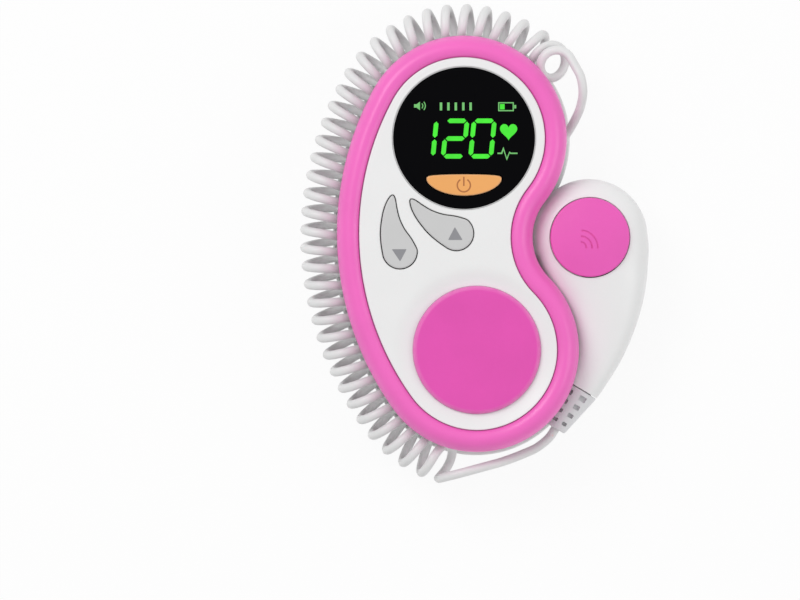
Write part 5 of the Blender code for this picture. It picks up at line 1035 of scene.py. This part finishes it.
class MONITOR_OT_stage(bpy.types.Operator):
    """Makes the camera, the pale floor, the lamps and the world"""

    bl_idname = "monitor.stage"
    bl_label = "Stage and camera"

    def execute(self, context):
        scene = context.scene
        lens = bpy.data.cameras.new("camera")
        lens.sensor_width = SENSOR_WIDTH
        lens.lens = SENSOR_WIDTH * VIEW_DISTANCE / VIEW_WIDTH
        lens.clip_end = CLIP_END
        camera = bpy.data.objects.new("camera", lens)
        camera.location = (*VIEW_MIDDLE, FACE_TOP + VIEW_DISTANCE)
        scene.collection.objects.link(camera)
        scene.camera = camera
        scene.view_settings.view_transform = "Standard"
        self.make_floor(scene)
        for name, (place, size, energy) in LAMPS.items():
            lamp = bpy.data.lights.new(name, "AREA")
            lamp.shape = "DISK"
            lamp.size = size
            lamp.energy = energy
            holder = bpy.data.objects.new(name, lamp)
            holder.location = place
            holder.rotation_euler = (-Vector(place)).to_track_quat("-Z", "Y").to_euler()
            scene.collection.objects.link(holder)
        self.make_world(scene)
        return {"FINISHED"}

    def make_floor(self, scene):
        """A wide pale floor under the object, seen mostly white, with the shadow kept."""
        bend = np.linspace(-FLOOR_REACH, FLOOR_REACH, FLOOR_POINTS)
        across, upward = np.meshgrid(bend, bend, indexing="ij")
        grid = np.stack((across, upward, np.full_like(across, -FLOOR_DROP)), axis=-1)
        faces = grid_faces(FLOOR_POINTS, FLOOR_POINTS, around=False)[:, ::-1]
        mesh = bpy.data.meshes.new("floor")
        mesh.from_pydata(grid.reshape(-1, 3).tolist(), [], faces.tolist())
        floor = bpy.data.objects.new("floor", mesh)
        scene.collection.objects.link(floor)
        made = bpy.data.materials.new("floor_pale")
        made.use_nodes = True
        tree = made.node_tree
        shader = fill(tree, tree.nodes["Principled BSDF"], {
            "Base Color": (FLOOR_TONE, FLOOR_TONE, FLOOR_TONE, 1.0),
            "Roughness": FLOOR_ROUGHNESS})
        glow = tree.nodes.new("ShaderNodeEmission")
        whitened(tree, shader.outputs[0], glow.outputs[0], FLOOR_SEEN, "Material Output")
        mesh.materials.append(made)

    def make_world(self, scene):
        """A plain white world: full white where seen, a soft even light elsewhere."""
        world = bpy.data.worlds.new("studio")
        world.use_nodes = True
        tree = world.node_tree
        white = (1.0, 1.0, 1.0, 1.0)
        light = fill(tree, tree.nodes["Background"], {"Color": white, "Strength": WORLD_STRENGTH})
        seen = add(tree, "ShaderNodeBackground", {"Color": white})
        whitened(tree, light.outputs[0], seen.outputs[0], WORLD_SEEN, "World Output")
        scene.world = world


class MONITOR_OT_cords(bpy.types.Operator):
    """Makes the gland, the lead from it with the curly cord, and the lead to the probe"""

    bl_idname = "monitor.cords"
    bl_label = "Cord"

    def execute(self, context):
        curls, axis = curl_route()
        middle, along = gland_frame()
        diameter = 2.0 * CORD_RADIUS
        out = middle + along * (GLAND_LENGTH / 2.0 + GLAND_NOSE_LENGTH)
        arrival = curls[0] + unit(curls[0] - curls[1]) * (diameter + CORD_GAP + CORD_RADIUS)
        bends = lobe_points(UPPER_CENTRE, UPPER_RADIUS, UNIT_LEAD_ROUTE)
        start = (out, out + along * (diameter + CORD_GAP))
        lead = lead_route((*start, *bends, arrival, curls[0]), UNIT_LEAD_POINTS)[:-1]
        away = unit((curls[-1] - curls[-2]) * (1.0, 1.0, 0.0))
        begin = curls[-1] + away * diameter
        route = np.concatenate((lead, curls, [begin]))
        reference = np.concatenate((np.tile(axis[0], (len(lead), 1)), axis, axis[-1:]))
        curly = tube("curly_cord_piece", route, reference, "unit")
        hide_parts("curly_cord", "unit_lead")
        outward = np.array((*RELIEF_ALONG, 0.0))
        mouth = np.array((
            *(NECK_PLACE + RELIEF_ALONG * (RELIEF_LENGTH - SEAT_GAP)), GROOVE_MIDDLE))
        bends = lobe_points(LOWER_CENTRE, LOWER_RADIUS, PROBE_LEAD_ROUTE)
        start = (begin, begin + away * (CORD_GAP + diameter))
        end = (mouth + outward * (CORD_RADIUS + 2.0 * CORD_GAP), mouth)
        lead = lead_route((*start, *bends, *end), PROBE_LEAD_POINTS)
        probe_lead = tube("probe_lead_piece", lead, np.tile(axis[-1], (len(lead), 1)), None)
        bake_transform(probe_lead)
        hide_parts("probe_lead")
        self.make_gland(middle, along)
        return {"FINISHED"}

    def make_gland(self, middle, along):
        """The gland: superellipse sections along the cord, round-ended, with a round nose."""
        half = GLAND_LENGTH / 2.0
        turn = np.linspace(0.0, QUARTER, 6)
        drop = GLAND_ROUNDING * (1.0 - np.sin(turn))
        start = np.column_stack((
            GLAND_ROUNDING * (1.0 - np.cos(turn)) - half, GLAND_RADIUS - drop,
            GLAND_HEIGHT / 2.0 - drop, np.full_like(turn, GLAND_POWER)))
        nose = [(half + GLAND_NOSE_LENGTH * share, radius, radius, 2.0)
                for share, radius in GLAND_NOSE]
        rows = np.concatenate((start, start[::-1] * (-1, 1, 1, 1), nose))
        rows = np.concatenate((rows[:1] * (1, 0, 0, 1), rows, rows[-1:] * (1, 0, 0, 1)))
        spokes = direction(round_angles(GLAND_ROUND))
        section = powered(spokes, 2.0 / rows[:, 3, None, None]) * rows[:, None, 1:3]
        grid = (
            middle + rows[:, 0, None, None] * along
            - section[..., :1] * (*quarter_turn(along), 0.0) + section[..., 1:] * SKYWARD)
        gland = new_piece(
            "cord_gland_piece", grid, grid_faces(len(rows), GLAND_ROUND), "unit",
            "relief_white")
        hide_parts("cord_gland")


class MONITOR_OT_case(bpy.types.Operator):
    """Makes the bezel ring, the face, the speaker pad and the window"""

    bl_idname = "monitor.case"
    bl_label = "Face, ring, pad and window"

    def execute(self, context):
        sizes = context.scene.monitor_sizes
        power, up, down = (grown(loop, BUTTON_GAP) for loop in button_outlines().values())
        self.make_ring()

        def dished(x, y):
            """The face's height: lower near the pad, eased up to the flat over the reach."""
            reach = np.hypot(x - LOWER_CENTRE[0], y - LOWER_CENTRE[1]) - PAD_RADIUS
            return FACE_TOP - sizes.face_dish * (1.0 - smooth_step(reach / sizes.dish_reach))

        loops = (
            body_outline(FACE_INSET)[0], circle(UPPER_CENTRE, WINDOW_RADIUS + SEAT_GAP, FACE_ROUND),
            up, down, circle(LOWER_CENTRE, PAD_RADIUS + PAD_SEAM, PAD_HOLE_ROUND))
        face = sheet(
            "front_face", loops, FINE, FACE_ROUNDINGS, dished, FACE_BOTTOM, "unit", "shell_white")
        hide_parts("front_shell")
        self.make_pad(sizes.pad_rounding)
        loops = (circle(UPPER_CENTRE, WINDOW_RADIUS, FACE_ROUND), power)
        window = sheet(
            "window_glass", loops, MEDIUM, WINDOW_ROUNDINGS, FACE_TOP,
            FACE_TOP - WINDOW_THICKNESS, "unit", "glass_black")
        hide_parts("display_window")
        loop = circle(UPPER_CENTRE, WINDOW_RADIUS + WINDOW_RIM_GAP, FACE_ROUND)
        swept("window_rim", loop, (loop - UPPER_CENTRE) / WINDOW_RADIUS,
              WINDOW_RIM + (0.0, FACE_TOP), "volume_grey")
        return {"FINISHED"}

    def make_ring(self):
        """The ring: its smoothed section carried round the body's outline."""
        outline, normals = body_outline(0.0)
        along = travelled(RING_SECTION_SHARES)
        shares = smooth_row(RING_SECTION_SHARES, along, np.linspace(0.0, along[-1], 44))
        section = shares * (-RING_SEEN_WIDTH, RING_HEIGHT) + (0.0, RING_BOTTOM)
        section = np.concatenate((section, [(-RING_SEEN_WIDTH, RING_BOTTOM)]))
        ring = swept("bezel_ring_piece", outline, normals, section, "ring_pink", ROUND_SHARP)
        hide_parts("bezel_ring")

    def make_pad(self, rounding):
        """The pad: a crown that falls by a cube, a round edge and a plain side, turned."""
        out = np.linspace(0.0, 1.0, 9)
        top = np.column_stack((
            (PAD_RADIUS - rounding) * out, PAD_TOP - PAD_CROWN * (1.0 - out ** 3)))
        edge = rim_profile(PAD_RADIUS, PAD_TOP, rounding, 12)[1:]
        profile = np.concatenate((top, edge, [(PAD_RADIUS, PAD_FOOT), (0.0, PAD_FOOT)]))
        # This rim share lightens the pad's rounded edge in its finish: mostly a painted highlight,
        # with some wear
        rim = np.clip(1.0 - (PAD_RADIUS - profile[:, 0]) / rounding, 0.0, 1.0)
        pad = turned(
            "speaker_pad", profile, LOWER_CENTRE, "unit", "pad_pink", PAD_ROUND, ROUND_SHARP,
            rim)
        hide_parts("speaker_cover")


def heart_outline():
    """The heart curve: 16 sin cubed across, and 13, -5, -2 and -1 times cosines of 1 to 4 turns."""
    turn = round_angles(120)
    across = 16.0 * np.sin(turn) ** 3
    upward = (13.0 * np.cos(turn) - 5.0 * np.cos(2.0 * turn) - 2.0 * np.cos(3.0 * turn)
              - np.cos(4.0 * turn))
    return from_view(HEART_PLACE + np.column_stack((across, -upward)) * HEART_SCALE)


class MONITOR_OT_display(bpy.types.Operator):
    """Makes the display's lit signs: a number, level bars, a battery, a heart and a trace"""

    bl_idname = "monitor.display"
    bl_label = "Display"

    def execute(self, context):
        low, high = FACE_TOP - LIT_SINK, FACE_TOP + context.scene.monitor_sizes.print_height
        digits = digit(412.0, "bc") + digit(442.6, "abged") + digit(470.0, "abcdef")
        marks("lit_number", digits, high, low, "unit", "lit_green")
        signs = [[heart_outline()], [view_box(500.0, 104.0, 504.6, 109.4)]]
        marks("lit_signs", signs, high, low, "unit", "lit_green")
        horn = from_view((
            (414.0, 104.2), (416.6, 104.2), (420.0, 101.6), (420.0, 110.2), (416.6, 107.6),
            (414.0, 107.6)))
        mouth = from_view((419.4, 105.9))
        waves = [[arc_band(mouth, radius, WAVE_WIDTH, -WAVE_SPREAD, WAVE_SPREAD, 16)]
                 for radius in WAVE_RADII]
        bars = [[view_box(left, 102.5, left + 2.4, 110.4)]
                for left in (439.8, 447.2, 454.6, 462.1, 469.4)]
        battery = [[view_box(498.2, 102.2, 513.8, 111.2), view_box(499.3, 103.3, 512.7, 110.1)],
                   [view_box(514.2, 105.0, 516.2, 108.4)]]
        trace = from_view((
            (497.5, 152.6), (501.2, 152.6), (503.4, 146.8), (506.8, 157.6), (509.4, 151.4),
            (511.0, 152.6), (517.5, 152.6), (517.5, 154.0), (510.4, 154.0), (509.6, 153.4),
            (506.8, 160.6), (503.4, 150.2), (502.2, 154.0), (497.5, 154.0)))
        levels = [[horn], *waves, *bars, *battery, [trace]]
        marks("lit_levels", levels, high, low, "unit", "lit_pale")
        return {"FINISHED"}


class MONITOR_OT_buttons(bpy.types.Operator):
    """Makes the power and volume buttons with their signs"""

    bl_idname = "monitor.buttons"
    bl_label = "Buttons"

    def execute(self, context):
        sizes = context.scene.monitor_sizes
        low, high = BUTTON_TOP - SIGN_SINK, BUTTON_TOP + sizes.print_height
        for name, loop in button_outlines().items():
            finish = "power_orange" if name == "power_button" else "volume_grey"
            button = sheet(
                f"{name}_piece", [loop], FINEST, [sizes.button_rounding], BUTTON_TOP,
                BUTTON_BOTTOM, name, finish, rim_steps=7)
            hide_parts(name)
        for way, corners in (
                ("down", ((400.1, 261.5), (406.7, 249.2), (391.8, 249.2))),
                ("up", ((454.8, 227.0), (448.1, 240.0), (462.6, 240.0)))):
            sign = softened(from_view(corners), SIGN_SOFTENING, 5)
            marks(f"volume_{way}_sign", [[sign]], high, low, f"volume_{way}_button", "print_grey")
        band = arc_band(from_view((463.8, 185.3)), POWER_SIGN_RADIUS, POWER_SIGN_BAND,
                        POWER_SIGN_START, POWER_SIGN_END)
        bar = view_box(463.05, 176.8, 464.55, 186.0)
        marks("power_sign", [[band], [bar]], high, low, "power_button", "print_brown")
        return {"FINISHED"}


def rectangle(low, high):
    """A rectangle's corners, counter-clockwise."""
    return np.array(((low[0], low[1]), (high[0], low[1]), (high[0], high[1]), (low[0], high[1])))


def slot_loop(centre, length, width):
    """A round-ended slot along X: half circles at both ends of a straight length."""
    right = width / 2.0 * direction(np.linspace(-QUARTER, QUARTER, 8))
    right[:, 0] += length / 2.0 - width / 2.0
    return centre + np.concatenate((right, -right))


def round_box(centre, along, length, width, rounding):
    """A rectangle with round corners: quarter circles about its four inner corners."""
    axes = np.array((along, quarter_turn(along)))
    sweep = direction(np.linspace(0.0, QUARTER, 5)) * rounding
    corner = np.array((length / 2.0 - rounding, width / 2.0 - rounding))
    loop = []
    for side in ((1.0, 1.0), (-1.0, 1.0), (-1.0, -1.0), (1.0, -1.0)):
        loop.append(centre + (corner * side + sweep) @ axes)
        sweep = quarter_turn(sweep)
    return np.concatenate(loop)


def cross_loop(centre, reach, half):
    """The plus sign of a driver's recess: one arm's three corners, turned four times."""
    arm = np.array(((reach, -half), (reach, half), (half, half)))
    corners = [arm]
    for _ in range(3):
        corners.append(quarter_turn(corners[-1]))
    return centre + np.concatenate(corners)


def screw_piece(name, place, radius, head, low, height, top, body):
    """A pan-head screw, head down: a turned profile with a thread's waves, and a plus recess."""
    levels = np.linspace(low + height, top - radius, THREAD_LEVELS)
    waves = np.cos(math.tau * levels / (radius * THREAD_PITCH_SHARE))
    thread = radius * (1.0 - THREAD_DEPTH_SHARE + THREAD_DEPTH_SHARE * waves)
    profile = np.concatenate((
        [(0.0, low)], rim_profile(head, low, height * HEAD_ROUNDING_SHARE, 5, -1.0),
        [(head, low + height), (radius, low + height)], np.column_stack((thread, levels)),
        [(radius * TIP_SHARE, top), (0.0, top)]))
    piece = turned(name, profile, place, body, "bright_steel", SCREW_ROUND)
    recess = cross_loop(place, head * RECESS_REACH_SHARE, head * RECESS_ARM_SHARE)
    combined(piece, "DIFFERENCE", prisms([[recess]], low - MM, low + height * RECESS_DEPTH_SHARE))
    return piece


class MONITOR_OT_back(bpy.types.Operator):
    """Makes the rear shell, the flange and drum, the battery door and the case screws"""

    bl_idname = "monitor.back"
    bl_label = "Back and drum"

    def execute(self, context):
        outline, _ = body_outline(-FLANGE_REACH, FLANGE_WAIST_RADIUS)
        edge = LOWER_CENTRE[1] - LOWER_RADIUS - FLANGE_REACH - MM
        self.make_shell(outline, edge)
        self.make_door(outline, edge)
        hole, _ = body_outline(RING_WIDTH)
        flange = sheet(
            "flange_plate", [outline, hole], COARSE, [FLANGE_ROUNDING, 0.0], FLANGE_TOP,
            FLANGE_BOTTOM, "unit", "shell_white", EDGE_ROUNDING)
        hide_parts("centre_frame")
        foot = FLANGE_TOP - DRUM_FOOT
        section = (
            (EDGE_ROUNDING, foot), (EDGE_ROUNDING, foot + DRUM_FOOT_RISE),
            (0.0, foot + DRUM_FOOT_TOP), (0.0, FRAME_TOP - EDGE_ROUNDING),
            (-EDGE_ROUNDING, FRAME_TOP), (-DRUM_WALL, FRAME_TOP), (-DRUM_WALL, foot))
        swept("drum_wall", *body_outline(GROOVE_DEPTH), section, "shell_white")
        for index, place in enumerate(CASE_SCREWS, 1):
            screw = screw_piece(
                f"case_screw_{index}_piece", place, SCREW_RADIUS, SCREW_HEAD_RADIUS,
                SCREW_HEAD_INSET, SCREW_HEAD_HEIGHT, SCREW_TOP, "unit")
            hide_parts(f"case_screw_{index}")
        return {"FINISHED"}

    def make_shell(self, outline, edge):
        """The shell: a rounded plate hollowed out, with screw posts, bores and the door's way."""
        inner, _ = body_outline(REAR_WALL - FLANGE_REACH, FLANGE_WAIST_RADIUS + REAR_WALL)
        shell = sheet(
            "back_shell", [outline], COARSE, [EDGE_ROUNDING], REAR_TOP, 0.0, "unit", "back_white",
            REAR_ROUNDING)
        combined(shell, "DIFFERENCE", prisms([[inner]], REAR_FLOOR, REAR_TOP + MM))
        combined(shell, "UNION", rods(
            CASE_SCREWS, POST_RADIUS, POST_ROUND, REAR_FLOOR - OVERLAP, POST_TOP))
        reach = DOOR_TONGUE + SEAT_GAP
        opening = rectangle((DOOR_LEFT, edge), (DOOR_RIGHT, DOOR_TOP))
        runners = rectangle((DOOR_LEFT - reach, edge), (DOOR_RIGHT + reach, DOOR_TOP))
        middle = DOOR_THICKNESS / 2.0
        room = DOOR_TONGUE_THICKNESS / 2.0 + DOOR_RUNNER_PLAY
        head_top = SCREW_HEAD_INSET + SCREW_HEAD_HEIGHT + SEAT_GAP
        combined(
            shell, "DIFFERENCE",
            rods(CASE_SCREWS, SCREW_HEAD_RADIUS + SEAT_GAP, POST_ROUND, -MM, head_top),
            rods(CASE_SCREWS, SCREW_RADIUS + SEAT_GAP, SMALL_ROUND, -MM, POST_TOP + MM),
            prisms([[opening]], -MM, REAR_FLOOR + OVERLAP),
            prisms([[runners]], middle - room, middle + room))
        dress(shell, "unit", "back_white")
        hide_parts("rear_shell")

    def make_door(self, outline, edge):
        """The door: a slice of the back between its edges, with tongues and cut thumb grips."""
        door = sheet("door_piece", [outline], COARSE, [0.0], REAR_TOP, 0.0, None, None,
                     REAR_ROUNDING)
        left, right, top = DOOR_LEFT + SEAT_GAP, DOOR_RIGHT - SEAT_GAP, DOOR_TOP - SEAT_GAP
        keep = rectangle((left, edge), (right, top))
        combined(door, "INTERSECT", prisms([[keep]], -MM, DOOR_THICKNESS))
        middle, half = DOOR_THICKNESS / 2.0, DOOR_TONGUE_THICKNESS / 2.0
        tongues = rectangle(
            (left - DOOR_TONGUE, edge + DOOR_TONGUE_START),
            (right + DOOR_TONGUE, top - DOOR_TONGUE))
        combined(door, "UNION", prisms([[tongues]], middle - half, middle + half))
        first = edge + MM + DOOR_GRIP_START + DOOR_GRIP_RIB / 2.0
        grips = [[slot_loop(((DOOR_LEFT + DOOR_RIGHT) / 2.0, first + row * DOOR_GRIP_PITCH),
                            DOOR_GRIP_WIDTH, DOOR_GRIP_RIB)] for row in range(DOOR_GRIP_COUNT)]
        combined(door, "DIFFERENCE", prisms(grips, -MM, DOOR_GRIP_DEPTH))
        dress(door, "battery_door", "back_white")
        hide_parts("battery_door")


def handle_rows(share):
    """The handle's middle, direction's angle, width share and rise share along its length."""
    span = NECK_PLACE - PROBE_CENTRE
    right = quarter_turn(span)
    rows = HANDLE_SHARES[:, 0]
    bow, width, rise = smooth_row(HANDLE_SHARES[:, 1:], rows, share).T
    middle = PROBE_CENTRE + share[:, None] * span + bow[:, None] * right
    places = rows[:, None] * span + HANDLE_SHARES[:, 1:2] * right
    steps = np.concatenate((places[1:2] - places[:1], places[2:] - places[:-2], [RELIEF_ALONG]))
    turns = np.arctan2(steps[:, 1], steps[:, 0])
    return middle, smooth_row(turns, rows, share), width, rise


def probe_layer(crown, power, inward):
    """One layer of half the probe's casing as a grid of places and rises.

    Round the head the half width is a sine and the height its superellipse; along the handle
    both come from the table. Each section is half a superellipse, and an inner layer is drawn in
    by the wall.
    """
    middle, turns, width_share, rise_share = handle_rows(np.linspace(0.0, 1.0, 46))
    width = NECK_RADIUS + (PROBE_HEAD_RADIUS - NECK_RADIUS) * width_share - inward
    height = NECK_RADIUS + (crown - NECK_RADIUS) * rise_share - inward
    tip = np.linspace(0.0, QUARTER, 25)[:-1]
    reach, head = np.cos(tip), PROBE_HEAD_RADIUS - inward
    tip_middle = PROBE_CENTRE - direction(turns[0]) * (head * reach)[:, None]
    tip_height = (crown - inward) * np.maximum(1.0 - reach ** power, 0.0) ** (1.0 / power)
    middle = np.concatenate((tip_middle, middle))
    turns = np.append(np.full(len(tip), turns[0]), turns)
    width = np.append(head * np.sin(tip), width)
    height = np.append(tip_height, height)
    angles = np.linspace(0.0, math.pi, PROBE_COLUMNS)
    across = powered(np.cos(angles), 2.0 / power)
    up = np.sin(angles) ** (2.0 / power)
    up[[0, -1]] = 0.0
    right = quarter_turn(direction(turns))
    places = middle[:, None] + right[:, None] * (width[:, None] * across)[:, :, None]
    return np.concatenate((places, (height[:, None] * up)[:, :, None]), axis=2)


def probe_half(name, crown, power, way):
    """Half of the probe's casing: an outer and an inner layer joined at the seam and the neck."""
    outer = probe_layer(crown, power, 0.0)
    inner = probe_layer(crown, power, PROBE_WALL)[:, ::-1]
    grid = np.concatenate((outer, inner), axis=1)
    grid[:, :, 2] = GROOVE_MIDDLE + way * np.maximum(grid[:, :, 2], PROBE_SEAM / 2.0)
    around = 2 * PROBE_COLUMNS
    row = np.arange(PROBE_COLUMNS - 1)
    back = around - 1 - row
    neck = (len(grid) - 1) * around + np.column_stack((row, row + 1, back - 1, back))
    faces = np.concatenate((grid_faces(len(grid), around), neck))
    return new_piece(name, grid, faces, "probe", "shell_white", PLATE_SHARP)


class MONITOR_OT_probe(bpy.types.Operator):
    """Makes the probe's casing, cap, lens, strain relief and screws"""

    bl_idname = "monitor.probe"
    bl_label = "Probe"

    def execute(self, context):
        top, bottom = GROOVE_MIDDLE + PROBE_RISE, GROOVE_MIDDLE - PROBE_DROP
        front = probe_half("probe_front", PROBE_RISE, PROBE_FRONT_POWER, 1.0)
        combined(front, "DIFFERENCE", rods(
            [PROBE_CENTRE], CAP_RADIUS + SEAT_GAP, BIG_ROUND, CAP_SEAT - SEAT_GAP, top + MM))
        dress(front, "probe", "shell_white")
        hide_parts("probe_front_shell")
        rear = probe_half("probe_rear", PROBE_DROP, PROBE_REAR_POWER, -1.0)
        places = handle_rows(PROBE_SCREW_SHARES)[0]
        seam = GROOVE_MIDDLE - PROBE_SEAM / 2.0
        head_low = bottom + PROBE_WALL
        head_top = head_low + PROBE_SCREW_HEAD_HEIGHT + SEAT_GAP
        low = bottom - MM
        combined(rear, "UNION", rods(
            places, PROBE_POST_RADIUS, SMALL_ROUND, bottom + PROBE_WALL / 2.0, seam))
        combined(
            rear, "DIFFERENCE",
            rods([PROBE_CENTRE], LENS_RADIUS + SEAT_GAP, BIG_ROUND, low, seam - PROBE_WALL),
            rods(places, PROBE_SCREW_HEAD_RADIUS + SEAT_GAP, SMALL_ROUND, low, head_top),
            rods(places, PROBE_SCREW_RADIUS + SEAT_GAP, SMALL_ROUND, low, seam + MM))
        dress(rear, "probe", "shell_white")
        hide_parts("probe_rear_shell")
        for index, place in enumerate(places, 1):
            screw = screw_piece(
                f"probe_screw_{index}_piece", place, PROBE_SCREW_RADIUS, PROBE_SCREW_HEAD_RADIUS,
                head_low, PROBE_SCREW_HEAD_HEIGHT,
                GROOVE_MIDDLE + PROBE_SEAM / 2.0 + PROBE_SCREW_BITE, "probe")
            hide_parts(f"probe_screw_{index}")
        self.make_cap()
        self.make_lens()
        self.make_relief()
        return {"FINISHED"}

    def make_cap(self):
        """The cap: a crowned disc with a soft rim, and a sign of three arcs set in its face."""
        out = np.linspace(0.0, 1.0, 17)
        fall = CAP_CROWN * smooth_row(CAP_CROWN_SHARES[:, 1], CAP_CROWN_SHARES[:, 0], out)
        crown = np.column_stack(((CAP_RADIUS - CAP_ROUNDING) * out, CAP_TOP - fall))
        rim = rim_profile(CAP_RADIUS, CAP_TOP - CAP_CROWN, CAP_ROUNDING, 7)[1:]
        profile = np.concatenate((crown, rim, [(CAP_RADIUS, CAP_SEAT), (0.0, CAP_SEAT)]))
        cap = turned(
            "cap_disc", profile, PROBE_CENTRE, "probe", "cap_pink", BIG_ROUND, ROUND_SHARP)
        source = PROBE_CENTRE + CAP_ARC_PLACE
        start, end = CAP_ARC_MIDDLE - CAP_ARC_SPREAD, CAP_ARC_MIDDLE + CAP_ARC_SPREAD
        arcs = [[arc_band(source, radius, CAP_ARC_WIDTH, start, end)] for radius in CAP_ARC_RADII]
        combined(cap, "DIFFERENCE", prisms(arcs, CAP_TOP - CAP_ARC_DEPTH, CAP_TOP + MM))
        dress(cap, "probe", "cap_pink", ROUND_SHARP)
        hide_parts("probe_cap")

    def make_lens(self):
        """The lens: a turned cup with a slightly bulged face, and its flange inside."""
        out = np.linspace(0.0, 1.0, 11)
        face = np.column_stack((
            (LENS_RADIUS - LENS_ROUNDING) * out, LENS_BOTTOM + LENS_BULGE * out ** 2))
        rim = rim_profile(LENS_RADIUS, LENS_BOTTOM + LENS_BULGE, LENS_ROUNDING, 7, -1.0)[1:]
        inner, floor = LENS_RADIUS - LENS_WALL, LENS_BOTTOM + LENS_FLOOR
        rest = ((LENS_RADIUS, LENS_FLANGE_TOP), (inner, LENS_FLANGE_TOP), (inner, floor),
                (0.0, floor))
        lens = turned("lens_cup", np.concatenate((face, rim, rest)), PROBE_CENTRE, "probe",
                      "lens_rubber", BIG_ROUND, ROUND_SHARP)
        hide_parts("acoustic_lens")

    def make_relief(self):
        """The relief: circles across its line, narrowing to the cord, with round-cornered slots."""
        across = quarter_turn(RELIEF_ALONG)
        narrowing = (RELIEF_END_RADIUS - NECK_RADIUS) / RELIEF_LENGTH
        reach = np.linspace(RELIEF_START, RELIEF_LENGTH - RELIEF_STOP, 30)
        rows = np.concatenate((
            [(-RELIEF_PLUG_DEPTH, 0.0), (-RELIEF_PLUG_DEPTH, RELIEF_PLUG_RADIUS),
             (RELIEF_PLUG_END, RELIEF_PLUG_RADIUS),
             (RELIEF_PLUG_END, NECK_RADIUS - RELIEF_START_DROP)],
            np.column_stack((reach, NECK_RADIUS + narrowing * reach)),
            [(RELIEF_LENGTH - RELIEF_BEND, RELIEF_END_RADIUS - RELIEF_BEND),
             (RELIEF_LENGTH, RELIEF_END_RADIUS - RELIEF_STOP), (RELIEF_LENGTH, 0.0)]))
        ring = rows[:, 1:, None] * direction(round_angles(RELIEF_ROUND))
        grid = np.empty((len(rows), RELIEF_ROUND, 3))
        grid[:, :, :2] = NECK_PLACE + rows[:, :1, None] * RELIEF_ALONG + ring[..., :1] * across
        grid[:, :, 2] = GROOVE_MIDDLE + ring[..., 1]
        relief = new_piece(
            "relief_piece", grid, grid_faces(len(rows), RELIEF_ROUND), "probe", "relief_white")
        cutters = []
        for row in range(SLOT_ROWS):
            distance = SLOT_FIRST + row * SLOT_PITCH
            radius = NECK_RADIUS + narrowing * distance
            spread = across * radius * SLOT_SPREAD_SHARE
            loops = [[round_box(
                NECK_PLACE + RELIEF_ALONG * distance + side, across, radius * SLOT_WIDTH_SHARE,
                radius * SLOT_LENGTH_SHARE, SLOT_ROUNDING)] for side in (spread, -spread)]
            deep, clear = radius - SLOT_DEPTH, radius + MM
            cutters.append(prisms(loops, GROOVE_MIDDLE + deep, GROOVE_MIDDLE + clear))
            cutters.append(prisms(loops, GROOVE_MIDDLE - clear, GROOVE_MIDDLE - deep))
        combined(relief, "DIFFERENCE", *cutters)
        dress(relief, "probe", "relief_white", PLATE_SHARP)
        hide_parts("strain_relief")


class MONITOR_OT_inside(bpy.types.Operator):
    """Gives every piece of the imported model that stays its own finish"""

    bl_idname = "monitor.inside"
    bl_label = "Inner pieces"

    def execute(self, context):
        looks = {row[0]: finish for finish, row in reversed(FINISHES.items())}
        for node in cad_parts.values():
            for holder in node.material_slots:
                slot = holder.material.name.split(".")[0]
                holder.material = finish_of(looks[slot])
        return {"FINISHED"}


class MONITOR_PT_panel(bpy.types.Panel):
    """Buttons and settings of the fetal doppler monitor"""

    bl_label = "Fetal doppler monitor"
    bl_idname = "MONITOR_PT_panel"
    bl_space_type = "VIEW_3D"
    bl_region_type = "UI"
    bl_category = "Monitor"

    def draw(self, context):
        for group in (context.scene.monitor_sizes, context.scene.monitor_colours):
            box = self.layout.box()
            for label in group.bl_rna.properties.keys():
                if label not in {"rna_type", "name"}:
                    box.prop(group, label)
        for step in STEPS:
            self.layout.operator(step.bl_idname)


STEPS = (
    MONITOR_OT_stage, MONITOR_OT_cords, MONITOR_OT_case, MONITOR_OT_display, MONITOR_OT_buttons,
    MONITOR_OT_back, MONITOR_OT_probe, MONITOR_OT_inside,
)
CLASSES = (MonitorSizes, MonitorColours, *STEPS, MONITOR_PT_panel)


def register():
    """Registers the classes and the scene's settings."""
    for kind in CLASSES:
        bpy.utils.register_class(kind)
    bpy.types.Scene.monitor_sizes = bpy.props.PointerProperty(type=MonitorSizes)
    bpy.types.Scene.monitor_colours = bpy.props.PointerProperty(type=MonitorColours)


def unregister():
    """Takes the settings and the classes away again."""
    del bpy.types.Scene.monitor_colours
    del bpy.types.Scene.monitor_sizes
    for kind in reversed(CLASSES):
        bpy.utils.unregister_class(kind)


def main():
    """Builds every piece in order."""
    register()
    for step in STEPS:
        group, _, name = step.bl_idname.partition(".")
        getattr(getattr(bpy.ops, group), name)()


if __name__ == "__main__":
    main()
